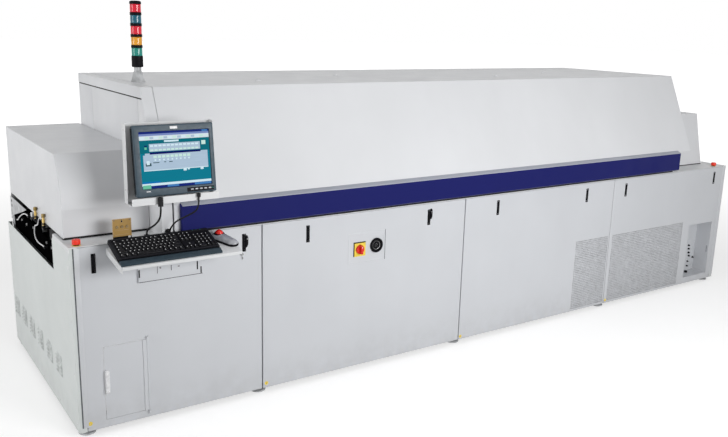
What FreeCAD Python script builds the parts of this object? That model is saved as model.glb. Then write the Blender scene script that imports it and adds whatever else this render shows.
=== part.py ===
import FreeCAD, Part
import math
import os

from FreeCAD import Vector

os.makedirs("parts", exist_ok=True)

# In-line convection reflow oven. All sizes are in millimetres.
# Working frame: x along the conveyor from the load end to the exit end, y back from the faces of the
# front panels, z up from the floor. The finished solids are moved along y so that the box is centred.

# Sheet metal and clearances
SHEET = 2.0
PAN = 22.0
CLEAR = 0.3
HINGE_CLEAR = 0.3
SLIDE_CLEAR = 0.5

# Cabinet
LENGTH = 4650.0
DEPTH = 1295.0
DECK_TOP = 871.0
DECK_SHEET = 3.0
DECK_LIP = 18.0
DECK_FRONT = 270.0
DECK_REAR = 195.0
PANEL_BOTTOM = 26.0
PANEL_GAP = 6.0
PANEL_HEAD_GAP = 2.0
END_STRIP = 35.0
PANEL_1_SPAN = 892.0
PANEL_2_SPAN = 1270.0
PANEL_3_SPAN = 1268.0
FOLD_R = 3.0

# Base frame of square tube, and its feet
TUBE = 50.0
TUBE_WALL = 3.0
FRAME_GAP = 6.0
FRAME_BOTTOM = 18.0
FOOT_R = 38.0
FOOT_PAD = 9.0
FOOT_STUD_R = 10.0

# Tilting front panels: pivots at the foot, latches at the head
PIVOT_Y = 11.0
PIVOT_RISE = 19.0
PIVOT_R = 5.0
PIVOT_EYE_R = 8.0
PIVOT_EYE_W = 24.0
PIVOT_INSET = 8.0
LEVER_W = 11.0
LEVER_H = 66.0
LEVER_T = 8.0
LEVER_PROUD = 2.0
LEVER_DROP = 42.0
LEVER_AXIS_DROP = 8.0
LEVER_AXIS_IN = 9.0
LEVER_HUB_R = 5.0
LEVER_PIN_R = 2.5
POCKET_SIDE = 1.0
POCKET_END = 7.0
POCKET_DEPTH = 16.0
CUP_WALL = 3.0
LATCH_INSETS = ((61.0, 92.0), (248.0, 257.0), (246.0, 257.0), (113.0, 94.0))

# Access door in the first panel
DOOR_INSET = 82.0
DOOR_W = 192.0
DOOR_RISE = 36.0
DOOR_H = 346.0
DOOR_GAP = 1.5
DOOR_BARREL_R = 4.0
DOOR_PIN_R = 2.5
DOOR_LUG_H = 14.0
PULL_W = 16.0
PULL_H = 104.0
PULL_OUT = 16.0
PULL_RISE = 131.0

# Main switch and socket on the second panel
SWITCH_INSET = 557.0
SWITCH_HEIGHT = 671.0
ESCUTCHEON = 92.0
ESCUTCHEON_T = 2.0
KNOB_R = 24.0
KNOB_T = 10.0
KNOB_BAR_W = 14.0
KNOB_BAR_T = 16.0
KNOB_SHAFT_R = 5.0
KNOB_SHAFT_L = 18.0
SOCKET_SHIFT = 104.0
SOCKET_LIFT = 9.0
SOCKET_R = 39.0
SOCKET_RIM = 8.0
SOCKET_BODY_R = 30.0
SOCKET_BODY_L = 34.0
SOCKET_WELL = 14.0

# Utility niche behind the fourth panel
NICHE_INSET = 47.0
NICHE_W = 275.0
NICHE_RISE = 44.0
NICHE_H = 392.0
NICHE_DEPTH = 115.0
NICHE_GAP = 1.0

# End panels with the conveyor notch and the louvre patches
NOTCH_FRONT = 285.0
BAY_REAR = 45.0
NOTCH_BOTTOM = 703.0
VENT_COUNT = 6
VENT_FIRST = 296.0
VENT_PITCH = 181.0
VENT_W = 95.0
VENT_BOTTOM = 200.0
VENT_SLOTS = 5
VENT_SLOT_H = 8.0
VENT_SLOT_PITCH = 19.0

# Hood and the fixed end frame at its left
HOOD_LEFT_IN = 453.0
HOOD_RIGHT_IN = 475.0
HOOD_BOTTOM = 885.0
HOOD_KNEE = 1012.0
HOOD_TOP = 1508.0
HOOD_FRONT = -18.0
HOOD_TOP_FRONT = 203.0
HOOD_BACK = 1205.0
HOOD_FOLD_R = 8.0
HOOD_CORNER_W = 138.0
HOOD_CORNER_H = 125.0
HOOD_SWING = 38.0
END_FRAME_W = 50.0
END_FRAME_GAP = 6.0
TUNNEL_SLOT_H = 40.0
BUMPER_PROUD = 22.0
BUMPER_LEDGE = 8.0
BUMPER_TOP = 1021.0
BUMPER_BOTTOM = 885.0
BUMPER_CHAMFER = 10.0
BUMPER_WALL = 3.0
BUMPER_LEFT_INSET = 32.0
BUMPER_RIGHT_INSET = 146.0
LINER_BOTTOM = 889.0
LINER_T = 3.0
GASKET_W = 24.0

# Hinges at the rear
HOOD_AXIS_Y = 1232.0
HOOD_HINGES = 4
KNUCKLE_R = 14.0
KNUCKLE_W = 40.0
HINGE_PIN_R = 8.0
EAR_W = 12.0
EAR_GAP = 2.0
COVER_AXIS_Y = 1258.0
COVER_AXIS_RISE = 17.0
COVER_KNUCKLE_R = 8.0
COVER_PIN_R = 4.0
COVER_HINGES = 2

# Hood lifters
LIFT_ARM = 190.0
LIFT_BALL_R = 16.0
LIFT_ROD_R = 12.0
LIFT_BARREL_R = 32.0
LIFT_BARREL_L = 370.0
LIFT_ROD_L = 330.0
LIFT_NECK = 62.0
LIFT_PAD_CLEAR = 2.0
LIFT_BLOCK_H = 40.0

# Load and exit covers
COVER_LEFT_INSET = 15.0
COVER_RIGHT_INSET = 107.0
COVER_GAP = 4.0
COVER_FRONT = 137.0
LOAD_SHOULDER = 1000.0
LOAD_BEND_Y = 163.0
LOAD_BEND_Z = 1118.0
LOAD_TOP_FRONT = 221.0
EXIT_SHOULDER = 892.0
EXIT_BEND_Y = 177.0
EXIT_BEND_Z = 1062.0
EXIT_TOP_FRONT = 213.0
COVER_TOP = 1231.0
COVER_BACK = 1240.0
COVER_BOTTOM = 877.0
COVER_SEAL = 5.0

# Heating and cooling modules above and below the conveyor
MODULE_LEFT_IN = 22.0
MODULE_RIGHT_IN = 40.0
MODULE_PITCH = 300.0
MODULE_GAP = 8.0
HEAT_ZONES = 9
MODULE_FRONT = 380.0
MODULE_BACK = 880.0
MODULE_H = 183.0
MODULE_WALL = 3.0
LOWER_TOP = 795.0
NOZZLE_DROP = 11.0
NOZZLE_INSET = 14.0
MOTOR_R = 55.0
MOTOR_H = 150.0

# Conveyor
RAIL_BOTTOM = 800.0
RAIL_H = 50.0
RAIL_W = 30.0
RAIL_END = 25.0
FIXED_RAIL_Y = 431.0
BOARD_WIDTH = 108.0
CHAIN_W = 10.0
CHAIN_R = 15.0
CHAIN_T = 8.0
SHAFT_R = 8.0
SPROCKET_R = 10.5
SHAFT_INSET = 47.0
SCREW_R = 10.0
SCREW_DROP = 25.0
SCREW_INSET = 125.0
SCREW_BLOCK = 18.0
NUT_L = 40.0
MOTOR_BOX_L = 110.0
MOTOR_BOX_W = 72.0
MOTOR_BOX_H = 66.0
MOTOR_BOX_Y = 900.0
INNER_BEAM_OFF = 28.0

# Chain oilers on the rails' ends at the load end
OILER_R = 6.0
OILER_EDGE = 1.0
OILER_W = 16.0
OILER_ON_RAIL = 20.0
OILER_BODY_Z = 880.0
OILER_BODY_H = 44.0
OILER_STEM_R = 4.0
OILER_PLATE_T = 5.0
OILER_TUBE_R = 2.5
OILER_TUBE_BEND = 10.5

# Control cabinet and exhaust
CONTROL_IN = 333.0
CONTROL_W = 700.0
CONTROL_D = 440.0
CONTROL_H = 430.0
SPIGOT_R = 75.0
SPIGOT_WALL = 2.0
SPIGOT_L = 60.0
SPIGOT_FLANGE = 95.0
SPIGOT_FLANGE_T = 4.0
SPIGOT_INSET = 275.0
SPIGOT_Z = 600.0

# Emergency stops on the deck
STOP_LEFT_IN = 41.0
STOP_RIGHT_IN = 110.0
STOP_Y = 30.0
STOP_BASE_R = 12.5
STOP_BASE_H = 14.0
STOP_STEM_R = 5.0
STOP_STEM_IN = 3.0
STOP_WELL = 11.0
STOP_HEAD_R = 17.5
STOP_HEAD_TOP = 26.0
STOP_SKIRT = 6.0
STOP_SKIRT_R = 13.5
STOP_ROOF = 5.5
STOP_CROWN_R = 4.0

# Monitor in its cradle
MONITOR_SHIFT = 4.0
MONITOR_W = 350.0
MONITOR_H = 300.0
MONITOR_BOTTOM = 1085.0
MONITOR_FRONT = -140.0
BEZEL_T = 22.0
CASE_W = 290.0
CASE_H = 230.0
CASE_T = 48.0
BOSS = 100.0
CRADLE_Y = -57.0
CRADLE_SIDE = 24.0
CRADLE_RIGHT = 8.0
CRADLE_FLANGE = 38.0
SHELF_DROP = 32.0
SHELF_LIP = 30.0
SHELF_OUT = 10.0
ARM_LOW = 1110.0
ARM_HIGH = 1290.0
ARM_INSET = 4.0
SCREEN_W = 306.0
SCREEN_H = 232.0
SCREEN_RISE = 42.0
SCREEN_T = 3.0
SCREEN_WELL = 4.0

# Monitor cords, their connectors and grommets; the routes' x is measured from the left end
CORD_1_D = 8.0
CORD_2_D = 7.0
CLIP_1_R = 11.0
CLIP_1_H = 38.0
CLIP_2_R = 8.0
CLIP_2_H = 14.0
GROMMET_R = 12.0
GROMMET_H = 6.0
CORD_1_ROUTE = (
    (343.0, -161.3, 1046.0),
    (343.0, -160.0, 1011.0),
    (343.0, -134.0, 980.0),
    (344.0, -88.0, 953.0),
    (345.0, -36.0, 929.0),
    (346.0, 4.0, 914.0),
    (347.0, 28.0, 901.0),
    (347.0, 38.0, 888.0),
    (347.0, 40.0, 878.2),
)
CORD_2_ROUTE = (
    (513.0, -158.3, 1070.0),
    (512.0, -158.0, 1034.0),
    (503.0, -151.0, 1008.0),
    (482.0, -132.0, 990.0),
    (459.0, -102.0, 971.0),
    (439.0, -72.0, 950.0),
    (427.0, -53.0, 925.0),
    (423.0, -44.0, 909.0),
    (422.0, -35.0, 900.0),
    (422.0, -25.4, 897.0),
)

# Keyboard tray, keyboard and trackball
TRAY_TILT = 14.0
TRAY_GAP = 4.0
TRAY_BACK_Z = 852.0
TRAY_IN = 115.0
TRAY_W = 532.0
TRAY_D = 224.0
TRAY_LIP = 14.0
BRACKET_IN = 133.0
BRACKET_W = 298.0
BRACKET_BOTTOM = 677.0
BRACKET_OUT = 12.0
GUSSET_REACH = 150.0
KEYS_IN = 12.0
KEYBOARD_W = 440.0
KEYBOARD_BACK = 8.0
KEYBOARD_D = 205.0
KEYBOARD_H = 18.0
PALM_D = 55.0
PALM_H = 9.0
KEY_WELL_D = 128.0
KEY_WELL_INSET = 10.0
KEY_WELL = 9.0
KEY_PITCH = 18.5
KEY_GAP = 2.5
KEY_H = 7.0
KEY_TRAVEL = 3.0
KEY_PLATE = 1.5
KEY_ROWS = 6
KEY_COUNTS = (15, 3, 4)
KEY_BLOCK_GAP = 5.0
BALL_IN = 492.0
BALL_R = 19.0
TRACK_BACK = 52.0
TRACK_R = 38.0
TRACK_NOSE_R = 27.0
TRACK_L = 80.0
TRACK_H = 34.0
TRACK_ROUND = 12.0
TRACK_TURN = 20.0
BALL_RISE = 30.0

# Jack plate standing on the deck behind the tray
JACK_IN = 194.0
JACK_W = 80.0
JACK_H = 94.0
JACK_T = 3.0
JACK_Y = 24.0
JACK_FOOT = 20.0
JACK_HOLE_R = 4.0

# Light tower on the hood's roof
TOWER_X_IN = 36.0
TOWER_Y = 500.0
TOWER_FOOT_R = 34.0
TOWER_FOOT_TOP_R = 21.0
TOWER_FOOT_H = 48.0
TOWER_POLE_R = 17.0
TOWER_POLE_H = 22.0
TOWER_BASE_R = 27.0
TOWER_BASE_H = 52.0
TOWER_LENS_R = 25.5
TOWER_LENS_H = 37.0
TOWER_RING_H = 13.0
TOWER_CAP_H = 16.0
TOWER_LENSES = 5

# Places worked out from the sizes above
LEFT = -LENGTH / 2
RIGHT = LENGTH / 2
CORD_1 = [(LEFT + x, y, z) for x, y, z in CORD_1_ROUTE]
CORD_2 = [(LEFT + x, y, z) for x, y, z in CORD_2_ROUTE]
SPLIT_1 = LEFT + PANEL_1_SPAN
SPLIT_2 = SPLIT_1 + PANEL_2_SPAN
SPLIT_3 = SPLIT_2 + PANEL_3_SPAN
HOOD_LEFT = LEFT + HOOD_LEFT_IN
HOOD_RIGHT = RIGHT - HOOD_RIGHT_IN
MODULE_LEFT = HOOD_LEFT + MODULE_LEFT_IN
MODULE_RIGHT = HOOD_RIGHT - MODULE_RIGHT_IN
CONTROL_X = SPLIT_1 + CONTROL_IN
JACK_LEFT = LEFT + JACK_IN
TRAY_LEFT = LEFT + END_STRIP + PANEL_GAP / 2 + TRAY_IN
BRACKET_LEFT = TRAY_LEFT + BRACKET_IN
KEYS_LEFT = TRAY_LEFT + KEYS_IN
BALL_X = TRAY_LEFT + BALL_IN
PANEL_TOP = DECK_TOP - DECK_SHEET - PANEL_HEAD_GAP
FRAME_LEFT = LEFT + PAN
FRAME_RIGHT = RIGHT - PAN
FRAME_FRONT = PAN + FRAME_GAP
FRAME_BACK = DEPTH - PAN
TOP_RAIL = DECK_TOP - DECK_SHEET - TUBE
POST_TOP = TOP_RAIL
POST_BOTTOM = FRAME_BOTTOM + TUBE
STATIONS = (FRAME_LEFT + TUBE / 2, SPLIT_1, SPLIT_2, SPLIT_3, FRAME_RIGHT - TUBE / 2)
PIVOT_Z = PANEL_BOTTOM + PIVOT_RISE
HOOD_AXIS_Z = LINER_BOTTOM
COVER_AXIS_Z = DECK_TOP + COVER_AXIS_RISE
COOL_LEFT = MODULE_LEFT + HEAT_ZONES * MODULE_PITCH
MODULE_Y = (MODULE_FRONT + MODULE_BACK) / 2
LOWER_BOTTOM = LOWER_TOP - MODULE_H
UPPER_BOTTOM = LINER_BOTTOM + LINER_T
END_FRAME_RIGHT = HOOD_LEFT - END_FRAME_GAP
END_FRAME_LEFT = END_FRAME_RIGHT - END_FRAME_W
MONITOR_X = END_FRAME_LEFT + END_FRAME_W / 2 + MONITOR_SHIFT
LOAD_COVER_X = (LEFT + COVER_LEFT_INSET, END_FRAME_LEFT - COVER_GAP)
EXIT_COVER_X = (HOOD_RIGHT + COVER_GAP, RIGHT - COVER_RIGHT_INSET)
LOAD_FRONT = (LOAD_SHOULDER, LOAD_BEND_Y, LOAD_BEND_Z, LOAD_TOP_FRONT)
EXIT_FRONT = (EXIT_SHOULDER, EXIT_BEND_Y, EXIT_BEND_Z, EXIT_TOP_FRONT)
RAIL_MID = RAIL_BOTTOM + RAIL_H / 2
SLIDE_RAIL_Y = FIXED_RAIL_Y + RAIL_W + 2 * CHAIN_W + BOARD_WIDTH
SHAFT_X = RIGHT - SHAFT_INSET
SCREW_Z = RAIL_BOTTOM - SCREW_DROP
RAIL_TOP = RAIL_BOTTOM + RAIL_H
SWITCH_X = SPLIT_1 + PANEL_GAP / 2 + SWITCH_INSET
TILT = math.radians(TRAY_TILT)
FRONT_REACH = TRAY_GAP + TRAY_D * math.cos(TILT)
FRONT_Y = (FRONT_REACH - DEPTH - SPIGOT_L) / 2
LIFT_LEAN = math.radians(HOOD_SWING / 2)
LIFT_DIR = Vector(0, math.sin(LIFT_LEAN), math.cos(LIFT_LEAN))
LIFT_MID_Y = HOOD_AXIS_Y - LIFT_ARM * math.cos(LIFT_LEAN)
LIFT_MID_Z = HOOD_AXIS_Z + LIFT_ARM * math.sin(LIFT_LEAN)
LIFT_BALL_Z = LINER_BOTTOM - LIFT_BALL_R - LIFT_PAD_CLEAR
LIFT_BALL_Y = LIFT_MID_Y - math.tan(LIFT_LEAN) * (LIFT_MID_Z - LIFT_BALL_Z)
LIFT_XS = tuple(split + TUBE / 2 + LIFT_BARREL_R + SCREW_BLOCK for split in (SPLIT_1, SPLIT_3))
X_DIR = Vector(1, 0, 0)
Y_DIR = Vector(0, 1, 0)
Z_DIR = Vector(0, 0, 1)


def box(x0, x1, y0, y1, z0, z1):
    """A block between two values on each axis."""
    return Part.makeBox(x1 - x0, y1 - y0, z1 - z0, Vector(x0, y0, z0))


def rod(start, direction, radius, length):
    """A round bar from a point along a direction."""
    return Part.makeCylinder(radius, length, Vector(*start), direction)


def prism_x(outline, x0, x1):
    """A (y, z) outline drawn out along x."""
    points = [Vector(x0, y, z) for y, z in outline]
    face = Part.Face(Part.makePolygon(points + points[:1]))
    return face.extrude(Vector(x1 - x0, 0, 0))


def fused(*shapes):
    """Shapes joined into one solid, with needless seams removed."""
    return shapes[0].fuse(list(shapes[1:])).removeSplitter()


def group(shapes):
    """Separate solids kept together in one node."""
    return Part.makeCompound(list(shapes))


def folded_block(x0, x1, y0, y1, z0, z1, face):
    """A block with the edges of one face, and those that run back from it, rounded as folded sheet is."""
    block = box(x0, x1, y0, y1, z0, z1)
    axis, place = face
    rounded = []
    for edge in block.Edges:
        ends = [getattr(vertex.Point, axis) for vertex in edge.Vertexes]
        if any(abs(end - place) < CLEAR for end in ends):
            rounded.append(edge)
    return block.makeFillet(FOLD_R, rounded)


def tube(axis, x0, x1, y0, y1, z0, z1):
    """A square tube open at both ends, along the named axis."""
    wall = {name: 0 if name == axis else TUBE_WALL for name in "xyz"}
    core = box(x0 + wall["x"], x1 - wall["x"], y0 + wall["y"], y1 - wall["y"], z0 + wall["z"],
               z1 - wall["z"])
    return box(x0, x1, y0, y1, z0, z1).cut(core)


def save(name, shape):
    """Centre the node on the part's own frame and write it."""
    moved = shape.copy()
    moved.translate(Vector(0, FRONT_Y, 0))
    if not moved.isValid():
        print("invalid", name)
    moved.exportStep("parts/" + name + ".step")


def pivot(name, x, y, z):
    """Print a joint's place in the part's own frame."""
    print("pivot", name, round(x, 3), round(y + FRONT_Y, 3), round(z, 3))


def panel_edges(number):
    """Left and right edge of a front panel, counted from 1."""
    lefts = (LEFT + END_STRIP, SPLIT_1, SPLIT_2, SPLIT_3)
    rights = (SPLIT_1, SPLIT_2, SPLIT_3, RIGHT - END_STRIP)
    return lefts[number - 1] + PANEL_GAP / 2, rights[number - 1] - PANEL_GAP / 2


def latch_places(number):
    """Middle of each latch of a panel along x."""
    left, right = panel_edges(number)
    from_left, from_right = LATCH_INSETS[number - 1]
    return left + from_left, right - from_right


LEVER_TOP = PANEL_TOP - LEVER_DROP
LEVER_AXIS_Z = LEVER_TOP - LEVER_AXIS_DROP


def pan(number):
    """A folded panel, open at its back, with pivot holes and latch pockets."""
    left, right = panel_edges(number)
    shape = folded_block(left, right, 0, PAN, PANEL_BOTTOM, PANEL_TOP, ("y", 0))
    shape = shape.cut(box(left + SHEET, right - SHEET, SHEET, 2 * PAN, PANEL_BOTTOM + SHEET,
                          PANEL_TOP - SHEET))
    hole = rod((left - PAN, PIVOT_Y, PIVOT_Z), X_DIR, PIVOT_R + HINGE_CLEAR, right - left + 2 * PAN)
    shape = shape.cut(hole)
    half = LEVER_W / 2 + POCKET_SIDE
    low = LEVER_TOP - LEVER_H - POCKET_END
    high = LEVER_TOP + POCKET_END
    for x in latch_places(number):
        cup = box(x - half - CUP_WALL, x + half + CUP_WALL, 0, POCKET_DEPTH + CUP_WALL, low - CUP_WALL,
                  high + CUP_WALL)
        pocket = box(x - half, x + half, -PAN, POCKET_DEPTH, low, high)
        bore = rod((x - half - CUP_WALL, LEVER_AXIS_IN, LEVER_AXIS_Z), X_DIR,
                   LEVER_PIN_R + HINGE_CLEAR, 2 * (half + CUP_WALL))
        shape = shape.fuse(cup).cut([pocket, bore])
    return shape.removeSplitter()


def latch_levers(number):
    """The two levers of a panel, each with its own cross pin."""
    levers = []
    for x in latch_places(number):
        body = box(x - LEVER_W / 2, x + LEVER_W / 2, -LEVER_PROUD, LEVER_T - LEVER_PROUD,
                   LEVER_TOP - LEVER_H, LEVER_TOP)
        pin_l = LEVER_W + 2 * (POCKET_SIDE + CUP_WALL) - CLEAR
        pin = rod((x - pin_l / 2, LEVER_AXIS_IN, LEVER_AXIS_Z), X_DIR, LEVER_PIN_R, pin_l)
        hub = rod((x - LEVER_W / 2, LEVER_AXIS_IN, LEVER_AXIS_Z), X_DIR, LEVER_HUB_R, LEVER_W)
        levers.append(fused(body, hub, pin))
    return group(levers)


DOOR_LEFT = panel_edges(1)[0] + DOOR_INSET
DOOR_RIGHT = DOOR_LEFT + DOOR_W
DOOR_BOTTOM = PANEL_BOTTOM + DOOR_RISE
DOOR_TOP = DOOR_BOTTOM + DOOR_H
DOOR_AXIS_X = DOOR_RIGHT + DOOR_BARREL_R
DOOR_AXIS_Y = -DOOR_BARREL_R - CLEAR


def front_panel_1():
    """First panel: opening for the access door and the door's hinge lugs."""
    shape = pan(1).cut(box(DOOR_LEFT, DOOR_RIGHT, -PAN, SHEET, DOOR_BOTTOM, DOOR_TOP))
    reach = DOOR_BARREL_R + DOOR_PIN_R
    for low in (DOOR_BOTTOM - DOOR_LUG_H, DOOR_TOP):
        lug = box(DOOR_AXIS_X - DOOR_BARREL_R, DOOR_AXIS_X + DOOR_BARREL_R, DOOR_AXIS_Y - reach, 0, low,
                  low + DOOR_LUG_H)
        bore = rod((DOOR_AXIS_X, DOOR_AXIS_Y, low), Z_DIR, DOOR_PIN_R + HINGE_CLEAR, DOOR_LUG_H)
        shape = shape.fuse(lug).cut(bore)
    return shape.removeSplitter()


def access_door():
    """Door leaf with its pull, hinge barrel and pin."""
    leaf = box(DOOR_LEFT + DOOR_GAP, DOOR_RIGHT - DOOR_GAP, 0, SHEET, DOOR_BOTTOM + DOOR_GAP,
               DOOR_TOP - DOOR_GAP)
    strap = box(DOOR_RIGHT - 4 * DOOR_BARREL_R, DOOR_AXIS_X, DOOR_AXIS_Y, -CLEAR, DOOR_BOTTOM + DOOR_GAP,
                DOOR_TOP - DOOR_GAP)
    joint = box(DOOR_RIGHT - 4 * DOOR_BARREL_R, DOOR_RIGHT - DOOR_GAP, -CLEAR, 0,
                DOOR_BOTTOM + DOOR_GAP, DOOR_TOP - DOOR_GAP)
    barrel = rod((DOOR_AXIS_X, DOOR_AXIS_Y, DOOR_BOTTOM + DOOR_GAP), Z_DIR, DOOR_BARREL_R,
                 DOOR_H - 2 * DOOR_GAP)
    pin = rod((DOOR_AXIS_X, DOOR_AXIS_Y, DOOR_BOTTOM - DOOR_LUG_H + DOOR_GAP), Z_DIR, DOOR_PIN_R,
              DOOR_H + 2 * (DOOR_LUG_H - DOOR_GAP))
    pull = box(DOOR_LEFT + DOOR_GAP, DOOR_LEFT + DOOR_GAP + PULL_W, -PULL_OUT, 0,
               DOOR_BOTTOM + PULL_RISE, DOOR_BOTTOM + PULL_RISE + PULL_H)
    return fused(leaf, strap, joint, barrel, pin, pull)


def front_panel_2():
    """Second panel: holes for the main switch and the socket."""
    shaft = rod((SWITCH_X, -PAN, SWITCH_HEIGHT), Y_DIR, KNOB_SHAFT_R + HINGE_CLEAR, 2 * PAN)
    well = rod((SWITCH_X + SOCKET_SHIFT, -PAN, SWITCH_HEIGHT + SOCKET_LIFT), Y_DIR,
               SOCKET_BODY_R + CLEAR, 2 * PAN)
    return pan(2).cut([shaft, well])


def switch_escutcheon():
    """Square plate behind the rotary knob."""
    half = ESCUTCHEON / 2
    plate = box(SWITCH_X - half, SWITCH_X + half, -ESCUTCHEON_T, 0, SWITCH_HEIGHT - half,
                SWITCH_HEIGHT + half)
    return plate.cut(rod((SWITCH_X, -PAN, SWITCH_HEIGHT), Y_DIR, KNOB_SHAFT_R + HINGE_CLEAR, 2 * PAN))


def switch_knob():
    """Rotary knob with its grip bar and shaft."""
    face = -ESCUTCHEON_T - CLEAR
    disc = rod((SWITCH_X, face - KNOB_T, SWITCH_HEIGHT), Y_DIR, KNOB_R, KNOB_T)
    bar = box(SWITCH_X - KNOB_BAR_W / 2, SWITCH_X + KNOB_BAR_W / 2, face - KNOB_T - KNOB_BAR_T,
              face - KNOB_T,
              SWITCH_HEIGHT - KNOB_R, SWITCH_HEIGHT + KNOB_R)
    round_ends = rod((SWITCH_X, face - KNOB_T - KNOB_BAR_T, SWITCH_HEIGHT), Y_DIR, KNOB_R, KNOB_BAR_T)
    shaft = rod((SWITCH_X, face, SWITCH_HEIGHT), Y_DIR, KNOB_SHAFT_R, KNOB_SHAFT_L)
    return fused(disc, bar.common(round_ends), shaft)


def power_socket():
    """Round panel socket with a rim in front and a body behind the panel."""
    x = SWITCH_X + SOCKET_SHIFT
    z = SWITCH_HEIGHT + SOCKET_LIFT
    rim = rod((x, -SOCKET_RIM, z), Y_DIR, SOCKET_R, SOCKET_RIM)
    body = rod((x, 0, z), Y_DIR, SOCKET_BODY_R, SOCKET_BODY_L)
    well = rod((x, -SOCKET_RIM, z), Y_DIR, SOCKET_BODY_R - SHEET, SOCKET_RIM + SOCKET_WELL)
    return fused(rim, body).cut(well)


NICHE_RIGHT = panel_edges(4)[1] - NICHE_INSET
NICHE_LEFT = NICHE_RIGHT - NICHE_W
NICHE_BOTTOM = PANEL_BOTTOM + NICHE_RISE
NICHE_TOP = NICHE_BOTTOM + NICHE_H


def front_panel_4():
    """Fourth panel, butted up from a main sheet and three strips round the utility niche's opening."""
    left, right = panel_edges(4)
    sheet = pan(4)
    spans = [(left, NICHE_LEFT, 0, DECK_TOP), (NICHE_RIGHT, right, 0, DECK_TOP),
             (NICHE_LEFT, NICHE_RIGHT, 0, NICHE_BOTTOM), (NICHE_LEFT, NICHE_RIGHT, NICHE_TOP, DECK_TOP)]
    return group(sheet.common(box(x0, x1, -PAN, 2 * PAN, z0, z1)) for x0, x1, z0, z1 in spans)


def utility_niche():
    """Open sheet-metal box that stays on the frame when the panel tilts."""
    front = SHEET + NICHE_GAP
    shell = box(NICHE_LEFT - SHEET, NICHE_RIGHT + SHEET, front, NICHE_DEPTH + SHEET,
                NICHE_BOTTOM - SHEET, NICHE_TOP + SHEET)
    return shell.cut(box(NICHE_LEFT, NICHE_RIGHT, -PAN, NICHE_DEPTH, NICHE_BOTTOM, NICHE_TOP))


def base_frame():
    """Welded tube frame, and the pivot eyes and pins for the front panels."""
    tubes = []
    for y in (FRAME_FRONT, FRAME_BACK - TUBE):
        tubes.append(tube("x", FRAME_LEFT, FRAME_RIGHT, y, y + TUBE, FRAME_BOTTOM, POST_BOTTOM))
        tubes.append(tube("x", FRAME_LEFT, FRAME_RIGHT, y, y + TUBE, TOP_RAIL, TOP_RAIL + TUBE))
        for x in STATIONS:
            tubes.append(tube("z", x - TUBE / 2, x + TUBE / 2, y, y + TUBE, POST_BOTTOM, POST_TOP))
    inner = (FRAME_FRONT + TUBE, FRAME_BACK - TUBE)
    for x in STATIONS:
        tubes.append(tube("y", x - TUBE / 2, x + TUBE / 2, inner[0], inner[1], FRAME_BOTTOM, POST_BOTTOM))
    shelf = (LOWER_BOTTOM - TUBE, LOWER_BOTTOM)
    for y in (MODULE_FRONT, MODULE_BACK - TUBE):
        tubes.append(tube("x", MODULE_LEFT, MODULE_RIGHT, y, y + TUBE, shelf[0], shelf[1]))
    for x in STATIONS[1:-1]:
        tubes.append(tube("y", x - TUBE / 2, x + TUBE / 2, inner[0], MODULE_FRONT, shelf[0], shelf[1]))
        tubes.append(tube("y", x - TUBE / 2, x + TUBE / 2, MODULE_BACK, inner[1], shelf[0], shelf[1]))
    for number in (1, 2, 3, 4):
        left, right = panel_edges(number)
        for inside, start in ((left + PIVOT_INSET, left), (right - PIVOT_INSET - PIVOT_EYE_W,
                                                           right - PIVOT_INSET - PIVOT_EYE_W)):
            eye = box(inside, inside + PIVOT_EYE_W, PIVOT_Y, FRAME_FRONT, PIVOT_Z - PIVOT_EYE_R,
                      PIVOT_Z + PIVOT_EYE_R)
            nose = rod((inside, PIVOT_Y, PIVOT_Z), X_DIR, PIVOT_EYE_R, PIVOT_EYE_W)
            pin = rod((start, PIVOT_Y, PIVOT_Z), X_DIR, PIVOT_R, PIVOT_INSET + PIVOT_EYE_W)
            tubes.append(fused(eye, nose, pin))
    return group(tubes)


def foot_places():
    """Middle of each levelling foot, under the bottom tubes."""
    return [(x, y) for x in STATIONS for y in (FRAME_FRONT + TUBE / 2, FRAME_BACK - TUBE / 2)]


def leveling_feet():
    """Pads and studs that carry the frame."""
    feet = []
    for x, y in foot_places():
        pad = rod((x, y, 0), Z_DIR, FOOT_R, FOOT_PAD)
        stud = rod((x, y, FOOT_PAD), Z_DIR, FOOT_STUD_R, FRAME_BOTTOM - FOOT_PAD)
        feet.append(fused(pad, stud))
    return group(feet)


def end_panel(side):
    """Folded end panel with the conveyor notch; side is -1 at the load end, 1 at the exit end."""
    top = DECK_TOP - DECK_SHEET - DECK_LIP
    shell = folded_block(LEFT, LEFT + PAN, 0, DEPTH, PANEL_BOTTOM, top, ("x", LEFT))
    shell = shell.cut(box(LEFT + SHEET, LEFT + 2 * PAN, SHEET, DEPTH - SHEET, PANEL_BOTTOM + SHEET,
                          top - SHEET))
    shell = shell.fuse(box(LEFT + PAN / 2, LEFT + END_STRIP, 0, SHEET, PANEL_BOTTOM, top))
    cuts = [box(LEFT - PAN, LEFT + 2 * PAN, NOTCH_FRONT, DEPTH + PAN, NOTCH_BOTTOM, DECK_TOP)]
    if side < 0:
        for patch in range(VENT_COUNT):
            y = VENT_FIRST + patch * VENT_PITCH
            for slot in range(VENT_SLOTS):
                z = VENT_BOTTOM + slot * VENT_SLOT_PITCH
                cuts.append(box(LEFT - PAN, LEFT + PAN, y - VENT_W / 2, y + VENT_W / 2, z,
                                z + VENT_SLOT_H))
    shell = shell.cut(cuts).removeSplitter()
    if side > 0:
        shell = shell.mirror(Vector(0, 0, 0), X_DIR)
    return shell


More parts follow.
